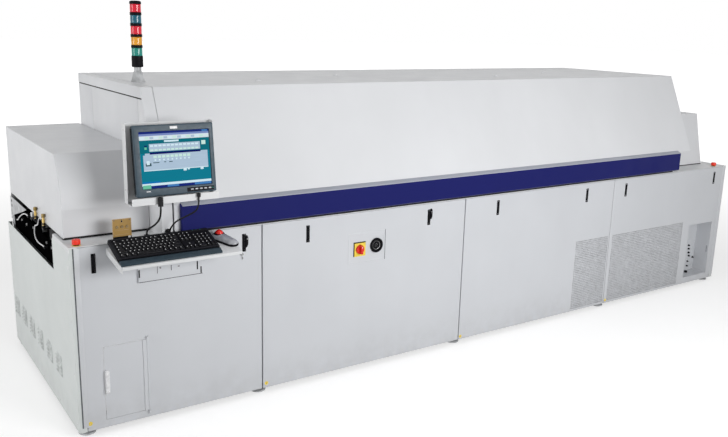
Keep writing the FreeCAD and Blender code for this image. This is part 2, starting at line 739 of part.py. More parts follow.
def rear_panels():
    """Four folded panels at the back, two of them with a hole for the exhaust."""
    panels = []
    for number in (1, 2, 3, 4):
        left, right = panel_edges(number)
        shape = folded_block(left, right, DEPTH - PAN, DEPTH, PANEL_BOTTOM, PANEL_TOP, ("y", DEPTH))
        shape = shape.cut(box(left + SHEET, right - SHEET, 0, DEPTH - SHEET, PANEL_BOTTOM + SHEET,
                              PANEL_TOP - SHEET))
        for x in (LEFT + SPIGOT_INSET, RIGHT - SPIGOT_INSET):
            shape = shape.cut(rod((x, DEPTH - PAN, SPIGOT_Z), Y_DIR, SPIGOT_R - SPIGOT_WALL, 2 * PAN))
        panels.append(shape)
    return group(panels)


def exhaust_spigots():
    """Flanged round spigots for the exhaust ducts."""
    spigots = []
    for x in (LEFT + SPIGOT_INSET, RIGHT - SPIGOT_INSET):
        pipe = rod((x, DEPTH, SPIGOT_Z), Y_DIR, SPIGOT_R, SPIGOT_L)
        flange = rod((x, DEPTH, SPIGOT_Z), Y_DIR, SPIGOT_FLANGE, SPIGOT_FLANGE_T)
        bore = rod((x, DEPTH, SPIGOT_Z), Y_DIR, SPIGOT_R - SPIGOT_WALL, SPIGOT_L)
        spigots.append(fused(pipe, flange).cut(bore))
    return group(spigots)


def deck():
    """Front top plate with turned-down ends and the rear one; the bays and the tunnel lie between."""
    low = DECK_TOP - DECK_SHEET
    front = box(LEFT, RIGHT, 0, DECK_FRONT, low, DECK_TOP)
    rear = box(LEFT + END_STRIP, RIGHT - END_STRIP, DEPTH - DECK_REAR, DEPTH, low, DECK_TOP)
    bays = [box(LEFT - PAN, END_FRAME_LEFT, 0, DEPTH - BAY_REAR, 0, 2 * DECK_TOP),
            box(HOOD_RIGHT, RIGHT + PAN, 0, DEPTH - BAY_REAR, 0, 2 * DECK_TOP)]
    rear = rear.cut(bays)
    for x in (LEFT, RIGHT - SHEET):
        front = front.fuse(box(x, x + SHEET, 0, DECK_FRONT, low - DECK_LIP, low))
    return group([front.removeSplitter(), rear.removeSplitter()])


def seal_strip(x0, x1):
    """A soft strip under the front edge of an end cover."""
    return box(x0, x1, COVER_FRONT, COVER_FRONT + GASKET_W, DECK_TOP, DECK_TOP + COVER_SEAL)


def deck_gaskets():
    """Soft seals between the deck and the hood and covers."""
    top = LINER_BOTTOM - SLIDE_CLEAR
    inset = 3 * SHEET
    corner = HOOD_RIGHT - HOOD_CORNER_W - inset
    step = COVER_FRONT + inset
    front = fused(box(HOOD_LEFT + inset, corner, inset, inset + GASKET_W, DECK_TOP, top),
                  box(corner - GASKET_W, corner, inset, step + GASKET_W, DECK_TOP, top),
                  box(corner - GASKET_W, HOOD_RIGHT - inset, step, step + GASKET_W, DECK_TOP, top))
    back_y = HOOD_BACK - inset - GASKET_W
    rear = box(HOOD_LEFT + inset, HOOD_RIGHT - inset, back_y, back_y + GASKET_W, DECK_TOP, top)
    return group([front, rear, seal_strip(*LOAD_COVER_X), seal_strip(*EXIT_COVER_X)])


def hood_outline(bottom, inset):
    """Hood section in (y, z), drawn in by a sheet's thickness where inset is given."""
    slope = (HOOD_TOP_FRONT - HOOD_FRONT) / (HOOD_TOP - HOOD_KNEE)
    run = inset * math.hypot(1, slope)
    front = HOOD_FRONT + inset
    top = HOOD_TOP - inset
    knee = HOOD_KNEE + (inset - run) / slope
    shoulder = HOOD_TOP_FRONT - slope * inset + run
    return [(front, bottom), (front, knee), (shoulder, top), (HOOD_BACK - inset, top),
            (HOOD_BACK - inset, bottom)]


def rounded_hood(x0, x1, bottom):
    """Solid hood block with its folded top edges rounded."""
    block = prism_x(hood_outline(bottom, 0), x0, x1)
    folds = [edge for edge in block.Edges if is_top_fold(edge)]
    block = block.makeFillet(HOOD_FOLD_R, folds)
    return block.makeFillet(FOLD_R, end_edges(block, x0, bottom) + end_edges(block, x1, bottom))


def end_edges(block, x, bottom):
    """Edges round an end wall at x, apart from the one along its foot."""
    found = []
    for edge in block.Edges:
        limits = edge.BoundBox
        if abs(limits.XMin - x) < CLEAR and abs(limits.XMax - x) < CLEAR and limits.ZMax > bottom + CLEAR:
            found.append(edge)
    return found


def is_top_fold(edge):
    """True for the long edges at the front and the back of the roof."""
    ends = [vertex.Point for vertex in edge.Vertexes]
    level = all(abs(point.z - HOOD_TOP) < SHEET for point in ends)
    return level and abs(ends[0].y - ends[1].y) < SHEET


def hood_end_frame():
    """Fixed frame at the hood's left, open towards the hood, with a slot for the conveyor."""
    shell = rounded_hood(END_FRAME_LEFT, END_FRAME_RIGHT, DECK_TOP)
    shell = shell.cut(prism_x(hood_outline(0, SHEET), END_FRAME_LEFT + SHEET, HOOD_LEFT))
    slot = box(END_FRAME_LEFT - PAN, HOOD_LEFT, DECK_FRONT, MODULE_BACK, 0, DECK_TOP + TUNNEL_SLOT_H)
    return shell.cut(slot)


def hood_hinge_places():
    """Middle of each hood hinge along x."""
    pitch = (HOOD_RIGHT - HOOD_LEFT) / HOOD_HINGES
    return [HOOD_LEFT + (index + 0.5) * pitch for index in range(HOOD_HINGES)]


def cover_hinge_places(span):
    """Middle of each hinge of an end cover along x."""
    pitch = (span[1] - span[0]) / COVER_HINGES
    return [span[0] + (index + 0.5) * pitch for index in range(COVER_HINGES)]


def knuckle(x, wall, axis_y, axis_z, radius, pin_r):
    """Moving half of a hinge: a lug from a rear wall to an eye on the axis."""
    half = KNUCKLE_W / 2
    lug = box(x - half, x + half, wall, axis_y, axis_z - radius / 2, axis_z + radius)
    eye = rod((x - half, axis_y, axis_z), X_DIR, radius, KNUCKLE_W)
    bore = rod((x - half, axis_y, axis_z), X_DIR, pin_r + HINGE_CLEAR, KNUCKLE_W)
    return fused(lug, eye).cut(bore)


def ears(x, axis_y, axis_z, radius, pin_r):
    """Fixed half of a hinge: two ears on the deck with the pin through them."""
    near = KNUCKLE_W / 2 + EAR_GAP
    shapes = []
    for start in (x - near - EAR_W, x + near):
        post = box(start, start + EAR_W, axis_y - radius, axis_y + radius, DECK_TOP, axis_z)
        head = rod((start, axis_y, axis_z), X_DIR, radius, EAR_W)
        shapes.append(fused(post, head))
    pin = rod((x - near - EAR_W, axis_y, axis_z), X_DIR, pin_r, 2 * (near + EAR_W))
    return fused(shapes[0], shapes[1], pin)


def hinge_brackets():
    """Fixed halves of all rear hinges."""
    shapes = [ears(x, HOOD_AXIS_Y, HOOD_AXIS_Z, KNUCKLE_R, HINGE_PIN_R) for x in hood_hinge_places()]
    for span in (LOAD_COVER_X, EXIT_COVER_X):
        for x in cover_hinge_places(span):
            shapes.append(ears(x, COVER_AXIS_Y, COVER_AXIS_Z, COVER_KNUCKLE_R, COVER_PIN_R))
    return group(shapes)


def hood_corner(wall):
    """Block that steps the hood's lower right corner back to the covers' front, grown by a wall."""
    return box(HOOD_RIGHT - HOOD_CORNER_W - wall, HOOD_RIGHT + PAN, HOOD_FRONT - PAN, COVER_FRONT + wall, 0,
               HOOD_BOTTOM + HOOD_CORNER_H + wall)


def hood_shell():
    """Lifting hood: slanted front, stepped corner, roof, back and ends in sheet, with hinge lugs."""
    shell = rounded_hood(HOOD_LEFT, HOOD_RIGHT, HOOD_BOTTOM).cut(hood_corner(0))
    core = prism_x(hood_outline(0, SHEET), HOOD_LEFT + SHEET, HOOD_RIGHT - SHEET)
    shell = shell.cut(core.cut(hood_corner(SHEET)))
    lugs = [knuckle(x, HOOD_BACK, HOOD_AXIS_Y, HOOD_AXIS_Z, KNUCKLE_R, HINGE_PIN_R)
            for x in hood_hinge_places()]
    return shell.fuse(lugs).removeSplitter()


def hood_bumper():
    """Hollow bumper bar along the hood's lower front."""
    face = HOOD_FRONT - BUMPER_PROUD
    wall = BUMPER_WALL
    outline = [(HOOD_FRONT, BUMPER_TOP - 2 * wall), (HOOD_FRONT, BUMPER_BOTTOM),
               (face, BUMPER_BOTTOM + BUMPER_CHAMFER), (face, BUMPER_TOP - BUMPER_LEDGE - 2 * wall)]
    core = [(HOOD_FRONT, BUMPER_TOP - 4 * wall), (HOOD_FRONT, BUMPER_BOTTOM + 2 * wall),
            (face + wall, BUMPER_BOTTOM + BUMPER_CHAMFER + wall),
            (face + wall, BUMPER_TOP - BUMPER_LEDGE - 4 * wall)]
    left = HOOD_LEFT + BUMPER_LEFT_INSET
    right = HOOD_RIGHT - BUMPER_RIGHT_INSET
    return prism_x(outline, left, right).cut(prism_x(core, left + wall, right - wall))


def zone_spans():
    """Start and end of every module along x: the heated zones, then the cooling zone."""
    spans = [(MODULE_LEFT + zone * MODULE_PITCH, MODULE_LEFT + (zone + 1) * MODULE_PITCH - MODULE_GAP)
             for zone in range(HEAT_ZONES)]
    return spans + [(COOL_LEFT, MODULE_RIGHT - MODULE_GAP)]


def lower_zone_modules():
    """Heating and cooling modules under the conveyor, open below."""
    shells = []
    for x0, x1 in zone_spans():
        shell = box(x0, x1, MODULE_FRONT, MODULE_BACK, LOWER_BOTTOM, LOWER_TOP)
        core = box(x0 + MODULE_WALL, x1 - MODULE_WALL, MODULE_FRONT + MODULE_WALL,
                   MODULE_BACK - MODULE_WALL,
                   0, LOWER_TOP - MODULE_WALL)
        shells.append(shell.cut(core))
    return group(shells)


def upper_zone_modules():
    """Modules above the conveyor, open at the top, with nozzle boxes through the liner."""
    shells = []
    for x0, x1 in zone_spans():
        shell = box(x0, x1, MODULE_FRONT, MODULE_BACK, UPPER_BOTTOM, UPPER_BOTTOM + MODULE_H)
        core = box(x0 + MODULE_WALL, x1 - MODULE_WALL, MODULE_FRONT + MODULE_WALL,
                   MODULE_BACK - MODULE_WALL,
                   UPPER_BOTTOM + MODULE_WALL, HOOD_TOP)
        nozzle = box(x0 + NOZZLE_INSET, x1 - NOZZLE_INSET, MODULE_FRONT + NOZZLE_INSET,
                     MODULE_BACK - NOZZLE_INSET,
                     LINER_BOTTOM - NOZZLE_DROP, UPPER_BOTTOM)
        shells.append(shell.cut(core).fuse(nozzle).removeSplitter())
    return group(shells)


def blower_motors(base, direction):
    """One blower motor for each module, set on the module's wall."""
    return group(rod(((x0 + x1) / 2, MODULE_Y, base), direction, MOTOR_R, MOTOR_H)
                 for x0, x1 in zone_spans())


def lower_blower_motors():
    """Motors under the lower modules, hung from the nozzle wall."""
    return blower_motors(LOWER_TOP - MODULE_WALL - MOTOR_H, Z_DIR)


def upper_blower_motors():
    """Motors standing in the upper modules."""
    return blower_motors(UPPER_BOTTOM + MODULE_WALL, Z_DIR)


def hood_liner():
    """Plate that closes the hood below, with a window for each module's nozzles."""
    plate = box(HOOD_LEFT + SHEET, HOOD_RIGHT - SHEET, HOOD_FRONT + SHEET, HOOD_BACK - SHEET,
                LINER_BOTTOM, LINER_BOTTOM + LINER_T)
    edge = NOZZLE_INSET - SLIDE_CLEAR
    windows = [box(x0 + edge, x1 - edge, MODULE_FRONT + edge, MODULE_BACK - edge, 0, HOOD_TOP)
               for x0, x1 in zone_spans()]
    return plate.cut(windows + [hood_corner(SHEET)])


def lift_point(along):
    """A point on a lifter's line, measured up from the ball's centre, as (y, z)."""
    return LIFT_BALL_Y + along * LIFT_DIR.y, LIFT_BALL_Z + along * LIFT_DIR.z


def lift_actuators():
    """Lifter barrels, each carried by a block on a frame tube beside it."""
    barrels = []
    y0, z0 = lift_point(-LIFT_NECK - LIFT_BARREL_L)
    shelf = LOWER_BOTTOM - TUBE / 2
    middle = LIFT_BALL_Y - (LIFT_BALL_Z - shelf) * math.tan(LIFT_LEAN)
    for x in LIFT_XS:
        barrel = rod((x, y0, z0), LIFT_DIR, LIFT_BARREL_R, LIFT_BARREL_L)
        block = box(x - LIFT_BARREL_R - SCREW_BLOCK, x, middle - LIFT_BLOCK_H / 2,
                    middle + LIFT_BLOCK_H / 2,
                    shelf - LIFT_BLOCK_H / 2, shelf + LIFT_BLOCK_H / 2)
        bore = rod((x, y0, z0), LIFT_DIR, LIFT_ROD_R + CLEAR, LIFT_BARREL_L + LIFT_NECK)
        barrels.append(fused(barrel, block).cut(bore))
    return group(barrels)


def lift_rods():
    """Lifter rods with ball heads under the hood's liner."""
    y0, z0 = lift_point(-LIFT_ROD_L)
    rods = []
    for x in LIFT_XS:
        ball = Part.makeSphere(LIFT_BALL_R, Vector(x, LIFT_BALL_Y, LIFT_BALL_Z))
        rods.append(fused(rod((x, y0, z0), LIFT_DIR, LIFT_ROD_R, LIFT_ROD_L), ball))
    return group(rods)


def cover_face(x, inset, outer_wall):
    """End cover section at x: straight foot, curved front, flat top; the load end is the rounder one."""
    bottom = COVER_BOTTOM if inset == 0 else 0
    knee, bend_y, bend_z, top_front = LOAD_FRONT if outer_wall < 0 else EXIT_FRONT
    foot = Vector(x, COVER_FRONT + inset, bottom)
    shoulder = Vector(x, COVER_FRONT + inset, knee)
    bend = Vector(x, bend_y + inset, bend_z - inset / 2)
    front = Vector(x, top_front + inset / 2, COVER_TOP - inset)
    back = Vector(x, COVER_BACK - inset, COVER_TOP - inset)
    heel = Vector(x, COVER_BACK - inset, bottom)
    edges = [Part.LineSegment(foot, shoulder), Part.Arc(shoulder, bend, front),
             Part.LineSegment(front, back), Part.LineSegment(back, heel), Part.LineSegment(heel, foot)]
    return Part.Face(Part.Wire([edge.toShape() for edge in edges]))


def end_cover(span, outer_wall):
    """Sheet cover over a conveyor bay, closed at its outer end; outer_wall is -1 left or 1 right."""
    x0, x1 = span
    inner0 = x0 + SHEET if outer_wall < 0 else x0 - PAN
    inner1 = x1 + PAN if outer_wall < 0 else x1 - SHEET
    shell = cover_face(x0, 0, outer_wall).extrude(Vector(x1 - x0, 0, 0))
    shell = shell.makeFillet(FOLD_R, end_edges(shell, x0 if outer_wall < 0 else x1, COVER_BOTTOM))
    core = cover_face(inner0, SHEET, outer_wall)
    shell = shell.cut(core.extrude(Vector(inner1 - inner0, 0, 0)))
    lugs = [knuckle(x, COVER_BACK - SHEET, COVER_AXIS_Y, COVER_AXIS_Z, COVER_KNUCKLE_R, COVER_PIN_R)
            for x in cover_hinge_places(span)]
    return shell.fuse(lugs).removeSplitter()


def conveyor_supports():
    """Cross beams under the rails with hangers to the top tubes, and the width screws in their blocks."""
    low = RAIL_BOTTOM - TUBE
    shapes = []
    for x in (FRAME_LEFT, FRAME_RIGHT - TUBE):
        shapes.append(tube("y", x, x + TUBE, FRAME_FRONT + TUBE, FRAME_BACK - TUBE, low, RAIL_BOTTOM))
    for x in (MODULE_LEFT - INNER_BEAM_OFF - TUBE, MODULE_RIGHT + INNER_BEAM_OFF):
        shapes.append(tube("y", x, x + TUBE, FRAME_FRONT, FRAME_BACK, low, RAIL_BOTTOM))
        for y in (FRAME_FRONT, FRAME_BACK - TUBE):
            shapes.append(box(x, x + TUBE, y, y + TUBE, RAIL_BOTTOM, TOP_RAIL))
    for x in screw_places():
        shapes.append(rod((x, FRAME_FRONT, SCREW_Z), Y_DIR, SCREW_R, FRAME_BACK - FRAME_FRONT))
        for y in (FRAME_FRONT, FRAME_BACK - TUBE):
            block = box(x - SCREW_BLOCK, x + SCREW_BLOCK, y, y + TUBE, SCREW_Z - SCREW_BLOCK, TOP_RAIL)
            shapes.append(block.cut(rod((x, y, SCREW_Z), Y_DIR, SCREW_R + CLEAR, TUBE)))
    return group(shapes)


def rail(y):
    """Conveyor rail with holes for the drive shaft."""
    shape = box(LEFT + RAIL_END, RIGHT - RAIL_END, y, y + RAIL_W, RAIL_BOTTOM, RAIL_BOTTOM + RAIL_H)
    return shape.cut(rod((SHAFT_X, y - PAN, RAIL_MID), Y_DIR, SHAFT_R + HINGE_CLEAR, RAIL_W + 2 * PAN))


def screw_places():
    """Place of each width screw along x."""
    return LEFT + SCREW_INSET, RIGHT - SCREW_INSET


def adjustable_rail():
    """Rear rail with the nuts that ride on the width screws."""
    shape = rail(SLIDE_RAIL_Y)
    for x in screw_places():
        mid = SLIDE_RAIL_Y + RAIL_W / 2
        nut = box(x - SCREW_BLOCK, x + SCREW_BLOCK, mid - NUT_L / 2, mid + NUT_L / 2,
                  SCREW_Z - SCREW_BLOCK, RAIL_BOTTOM)
        bore = rod((x, mid - NUT_L, SCREW_Z), Y_DIR, SCREW_R + HINGE_CLEAR, 2 * NUT_L)
        shape = shape.fuse(nut).cut(bore)
    return shape.removeSplitter()


def chain(y):
    """Edge chain as one closed band round the ends of its rail."""
    x0 = LEFT + SHAFT_INSET
    x1 = RIGHT - SHAFT_INSET

    def stadium(radius):
        flat = box(x0, x1, y, y + CHAIN_W, RAIL_MID - radius, RAIL_MID + radius)
        near = rod((x0, y, RAIL_MID), Y_DIR, radius, CHAIN_W)
        far = rod((x1, y, RAIL_MID), Y_DIR, radius, CHAIN_W)
        return fused(flat, near, far)

    return stadium(CHAIN_R + CHAIN_T / 2).cut(stadium(CHAIN_R - CHAIN_T / 2))


def drive_shaft():
    """Drive shaft through both rails, with the fixed rail's sprocket."""
    start = FIXED_RAIL_Y - TUBE
    shaft = rod((SHAFT_X, start, RAIL_MID), Y_DIR, SHAFT_R, MOTOR_BOX_Y - CLEAR - start)
    sprocket = rod((SHAFT_X, FIXED_RAIL_Y + RAIL_W + CLEAR, RAIL_MID), Y_DIR, SPROCKET_R, CHAIN_W)
    return fused(shaft, sprocket)


def drive_gearmotor():
    """Gearmotor on the exit end's cross beam, with a round motor behind its gearbox."""
    x1 = FRAME_RIGHT
    gearbox = box(x1 - MOTOR_BOX_W, x1, MOTOR_BOX_Y, MOTOR_BOX_Y + MOTOR_BOX_L, RAIL_BOTTOM,
                  RAIL_BOTTOM + MOTOR_BOX_H)
    mid = (x1 - MOTOR_BOX_W / 2, MOTOR_BOX_Y + MOTOR_BOX_L, RAIL_BOTTOM + MOTOR_BOX_H / 2)
    return fused(gearbox, rod(mid, Y_DIR, MOTOR_BOX_H / 2 - SHEET, MOTOR_BOX_L))


def rail_oiler(rail_y, side):
    """Oiler valve on a bracket at a rail's end; its drip tube bends down on the given side."""
    x = LEFT + OILER_EDGE + OILER_R
    y = rail_y + RAIL_W / 2
    base = RAIL_TOP + OILER_PLATE_T
    plate = box(x - OILER_R, LEFT + RAIL_END + OILER_ON_RAIL, y - OILER_W / 2, y + OILER_W / 2, RAIL_TOP,
                base)
    stem = rod((x, y, base), Z_DIR, OILER_STEM_R, OILER_BODY_Z - base)
    body = rod((x, y, OILER_BODY_Z), Z_DIR, OILER_R, OILER_BODY_H)
    return group([plate, fused(stem, body), oil_tube(x, y, side)])


def oil_tube(x, middle, side):
    """A thin tube from a valve's stem, bent down past the bracket."""
    bend = OILER_TUBE_BEND
    top = OILER_BODY_Z - 2 * OILER_TUBE_R
    y0 = middle + side * (OILER_STEM_R + CLEAR)
    y1 = y0 + side * bend / 2
    y2 = y1 + side * bend
    ease = bend * math.sin(math.pi / 4)
    out = Part.LineSegment(Vector(x, y0, top), Vector(x, y1, top)).toShape()
    over = Part.Arc(Vector(x, y1, top), Vector(x, y1 + side * ease, top - bend + ease),
                    Vector(x, y2, top - bend)).toShape()
    down = Part.LineSegment(Vector(x, y2, top - bend), Vector(x, y2, RAIL_TOP)).toShape()
    section = Part.Wire(Part.makeCircle(OILER_TUBE_R, Vector(x, y0, top), Y_DIR))
    return Part.Wire([out, over, down]).makePipeShell([section], True, False)


def control_cabinet():
    """Electrical enclosure with the control computer beside it, on the front bottom tube."""
    front = FRAME_FRONT + FRAME_GAP
    outer = box(CONTROL_X, CONTROL_X + CONTROL_W, front, front + CONTROL_D, POST_BOTTOM,
                POST_BOTTOM + CONTROL_H)
    core = box(CONTROL_X + SHEET, CONTROL_X + CONTROL_W - SHEET, 0, front + CONTROL_D - SHEET,
               POST_BOTTOM + SHEET, POST_BOTTOM + CONTROL_H - SHEET)
    computer = box(CONTROL_X + CONTROL_W / 2, CONTROL_X + CONTROL_W - TUBE, front + TUBE,
                   front + CONTROL_D - TUBE,
                   POST_BOTTOM + SHEET, POST_BOTTOM + CONTROL_H / 2)
    return group([outer.cut(core), computer])


def stop_places():
    """Middle of each emergency stop along x."""
    return LEFT + STOP_LEFT_IN, RIGHT - STOP_RIGHT_IN


def estop_bases():
    """Round bases on the deck, each with a well for the button's stem."""
    bases = []
    for x in stop_places():
        boss = rod((x, STOP_Y, DECK_TOP), Z_DIR, STOP_BASE_R, STOP_BASE_H)
        well = rod((x, STOP_Y, DECK_TOP + STOP_BASE_H - STOP_WELL), Z_DIR, STOP_STEM_R + HINGE_CLEAR,
                   STOP_WELL)
        bases.append(boss.cut(well))
    return group(bases)


def estop_button(x):
    """Mushroom head that stands over its base, with a stem that slides into the base."""
    head = rod((x, STOP_Y, DECK_TOP + STOP_SKIRT), Z_DIR, STOP_HEAD_R, STOP_HEAD_TOP - STOP_SKIRT)
    rim = [edge for edge in head.Edges if edge.BoundBox.ZMin > DECK_TOP + STOP_HEAD_TOP - SHEET]
    roof = STOP_HEAD_TOP - STOP_ROOF
    hollow = rod((x, STOP_Y, DECK_TOP), Z_DIR, STOP_SKIRT_R, roof)
    foot = STOP_BASE_H - STOP_STEM_IN
    stem = rod((x, STOP_Y, DECK_TOP + foot), Z_DIR, STOP_STEM_R, roof - foot + SHEET)
    return fused(head.makeFillet(STOP_CROWN_R, rim[:1]).cut(hollow), stem)


MONITOR_LEFT = MONITOR_X - MONITOR_W / 2
MONITOR_TOP = MONITOR_BOTTOM + MONITOR_H
MONITOR_MID_Z = MONITOR_BOTTOM + MONITOR_H / 2


def monitor_case():
    """Monitor housing: bezel, narrower back and a mounting boss."""
    front = MONITOR_FRONT
    bezel = box(MONITOR_LEFT, MONITOR_LEFT + MONITOR_W, front, front + BEZEL_T, MONITOR_BOTTOM,
                MONITOR_TOP)
    back = box(MONITOR_X - CASE_W / 2, MONITOR_X + CASE_W / 2, front + BEZEL_T, front + BEZEL_T + CASE_T,
               MONITOR_MID_Z - CASE_H / 2, MONITOR_MID_Z + CASE_H / 2)
    boss = box(MONITOR_X - BOSS / 2, MONITOR_X + BOSS / 2, front + BEZEL_T, CRADLE_Y,
               MONITOR_MID_Z - BOSS / 2, MONITOR_MID_Z + BOSS / 2)
    low = MONITOR_BOTTOM + SCREEN_RISE
    well = box(MONITOR_X - SCREEN_W / 2, MONITOR_X + SCREEN_W / 2, front - PAN, front + SCREEN_WELL, low,
               low + SCREEN_H)
    return fused(bezel, back, boss).cut(well)


def monitor_screen():
    """Flat screen set in the bezel's well."""
    low = MONITOR_BOTTOM + SCREEN_RISE + CLEAR
    half = SCREEN_W / 2 - CLEAR
    back = MONITOR_FRONT + SCREEN_WELL
    return box(MONITOR_X - half, MONITOR_X + half, back - SCREEN_T, back, low, low + SCREEN_H - 2 * CLEAR)


SHELF_FRONT = MONITOR_FRONT - SHELF_OUT
SHELF_Z = MONITOR_BOTTOM - SHELF_DROP


def hood_front_y(z):
    """Depth of the hood's slanted front at a height."""
    return HOOD_FRONT + (z - HOOD_KNEE) * (HOOD_TOP_FRONT - HOOD_FRONT) / (HOOD_TOP - HOOD_KNEE)


def monitor_cradle():
    """Sheet cradle with back, side flanges, shelf and lip, and its arm to the end frame."""
    left = MONITOR_LEFT - CRADLE_SIDE
    right = MONITOR_LEFT + MONITOR_W + CRADLE_RIGHT
    back = box(left, right, CRADLE_Y, CRADLE_Y + SHEET, SHELF_Z, MONITOR_TOP)
    shelf = box(left, right, SHELF_FRONT, CRADLE_Y + SHEET, SHELF_Z, SHELF_Z + SHEET)
    lip = box(left, right, SHELF_FRONT, SHELF_FRONT + SHEET, SHELF_Z, SHELF_Z + SHELF_LIP)
    flanges = [box(x, x + SHEET, CRADLE_Y - CRADLE_FLANGE, CRADLE_Y + SHEET, SHELF_Z, MONITOR_TOP)
               for x in (left, right - SHEET)]
    arm = prism_x([(CRADLE_Y + SHEET, ARM_LOW), (CRADLE_Y + SHEET, ARM_HIGH),
                   (hood_front_y(ARM_HIGH), ARM_HIGH), (hood_front_y(ARM_LOW), ARM_LOW)],
                  END_FRAME_LEFT + ARM_INSET, END_FRAME_RIGHT - ARM_INSET)
    return fused(back, shelf, lip, flanges[0], flanges[1], arm)


def cable_glands():
    """Connector and clip at the shelf's lip, deck grommet and end-frame grommet."""
    x1, y1, z1 = CORD_1[0]
    x2, y2, z2 = CORD_2[0]
    connector = rod((x1, SHELF_FRONT - CLIP_1_R - CLEAR, z1), Z_DIR, CLIP_1_R, CLIP_1_H)
    clip = rod((x2, SHELF_FRONT - CLIP_2_R - CLEAR, z2), Z_DIR, CLIP_2_R, CLIP_2_H)
    x1, y1, z1 = CORD_1[-1]
    x2, y2, z2 = CORD_2[-1]
    grommet = rod((x1, y1, DECK_TOP), Z_DIR, GROMMET_R, GROMMET_H)
    wall = rod((x2, HOOD_FRONT - GROMMET_H, z2), Y_DIR, GROMMET_R, GROMMET_H)
    return group([connector, clip, grommet, wall])


def cord(name, points, diameter):
    """A tube of straight runs and tangent arcs through a hand-chosen route."""
    spots = [Vector(*point) for point in points]
    edges = []
    radii = []
    start = spots[0]
    for before, corner, after in zip(spots, spots[1:], spots[2:]):
        come = (corner - before).normalize()
        leave = (after - corner).normalize()
        turn = come.getAngle(leave)
        step = 0.45 * min((corner - before).Length, (after - corner).Length)
        radii.append(round(step / math.tan(turn / 2), 1))
        first = corner - come * step
        last = corner + leave * step
        inward = (leave - come).normalize()
        sagitta = step * math.tan(turn / 4)
        middle = first + (last - first) * 0.5 - inward * sagitta
        edges += [Part.LineSegment(start, first).toShape(), Part.Arc(first, middle, last).toShape()]
        start = last
    edges.append(Part.LineSegment(start, spots[-1]).toShape())
    path = Part.Wire(edges)
    section = Part.Wire(Part.makeCircle(diameter / 2, spots[0], spots[1] - spots[0]))
    solid = path.makePipeShell([section], True, False)
    ratio = solid.Volume / (math.pi * diameter ** 2 / 4 * path.Length)
    print(name, "length", round(path.Length, 1), "radii", radii, "volume ratio", round(ratio, 4))
    return solid


def tilted(shape):
    """Move a shape from the flat tray's own plane onto the sloping tray."""
    moved = shape.copy()
    moved.rotate(Vector(0, 0, 0), X_DIR, TRAY_TILT)
    moved.translate(Vector(0, -TRAY_GAP, TRAY_BACK_Z))
    return moved


def keyboard_tray():
    """Sloping tray with a lip, its back flange on the panel and two gussets."""
    right = TRAY_LEFT + TRAY_W
    plate = box(TRAY_LEFT, right, -TRAY_D, 0, -SHEET, 0)
    lip = box(TRAY_LEFT, right, -TRAY_D, -TRAY_D + SHEET, -TRAY_LIP, 0)
    sides = [box(x, x + SHEET, -TRAY_D, 0, -TRAY_LIP, 0) for x in (TRAY_LEFT, right - SHEET)]
    tray = tilted(fused(plate, lip, sides[0], sides[1]))
    top = TRAY_BACK_Z - TRAY_LIP
    bracket = box(BRACKET_LEFT, BRACKET_LEFT + BRACKET_W, -BRACKET_OUT, 0, BRACKET_BOTTOM, top)
    hollow = box(BRACKET_LEFT + SHEET, BRACKET_LEFT + BRACKET_W - SHEET, -BRACKET_OUT + SHEET, 0,
                 BRACKET_BOTTOM + SHEET, top - SHEET)
    reach = -GUSSET_REACH
    under = TRAY_BACK_Z + (TRAY_GAP + reach) * math.tan(TILT) - SHEET
    gusset = [(-SHEET, BRACKET_BOTTOM + TUBE), (-SHEET, top), (-TRAY_GAP, TRAY_BACK_Z - SHEET),
              (reach, under), (reach, under - TRAY_LIP)]
    gussets = [prism_x(gusset, x, x + SHEET) for x in (BRACKET_LEFT, BRACKET_LEFT + BRACKET_W - SHEET)]
    return fused(tray, bracket.cut(hollow), gussets[0], gussets[1])


def key_well(depth, grow):
    """The recess that the keys sit in, at a depth below the case's top."""
    left = KEYS_LEFT + KEY_WELL_INSET - grow
    right = KEYS_LEFT + KEYBOARD_W - KEY_WELL_INSET + grow
    back = -KEYBOARD_BACK - KEY_WELL_INSET + grow
    return box(left, right, back - KEY_WELL_D - 2 * grow, back, KEYBOARD_H - depth, 2 * KEYBOARD_H)


def keyboard_case():
    """Keyboard case with a sloping palm rest and the key well."""
    back = -KEYBOARD_BACK
    front = back - KEYBOARD_D
    step = front + PALM_D
    outline = [(back, 0), (back, KEYBOARD_H), (step, KEYBOARD_H), (step - KEY_WELL, PALM_H + SHEET),
               (front, PALM_H), (front, 0)]
    case = prism_x(outline, KEYS_LEFT, KEYS_LEFT + KEYBOARD_W)
    return tilted(case.cut(key_well(KEY_WELL, 0)))


def keyboard_keys():
    """Keycaps standing on one carrier sheet that floats in the well."""
    floor = KEYBOARD_H - KEY_WELL + KEY_TRAVEL + SLIDE_CLEAR
    sheet = key_well(KEY_WELL, -SLIDE_CLEAR).common(
        box(-LENGTH, LENGTH, -DEPTH, DEPTH, floor, floor + KEY_PLATE))
    caps = []
    x = KEYS_LEFT + KEY_WELL_INSET + KEY_GAP
    back = -KEYBOARD_BACK - KEY_WELL_INSET - KEY_GAP
    pitch_y = (KEY_WELL_D - KEY_GAP) / KEY_ROWS
    for columns in KEY_COUNTS:
        for column in range(columns):
            for row in range(KEY_ROWS):
                y = back - row * pitch_y
                caps.append(box(x, x + KEY_PITCH - KEY_GAP, y - pitch_y + KEY_GAP, y,
                                floor + KEY_PLATE, floor + KEY_PLATE + KEY_H))
            x += KEY_PITCH
        x += KEY_BLOCK_GAP
    return tilted(sheet.fuse(caps))


def trackball_places():
    """Ball centre and nose centre on the flat tray, as (x, y)."""
    back = -TRACK_BACK
    return (BALL_X, back), (BALL_X, back - TRACK_L)


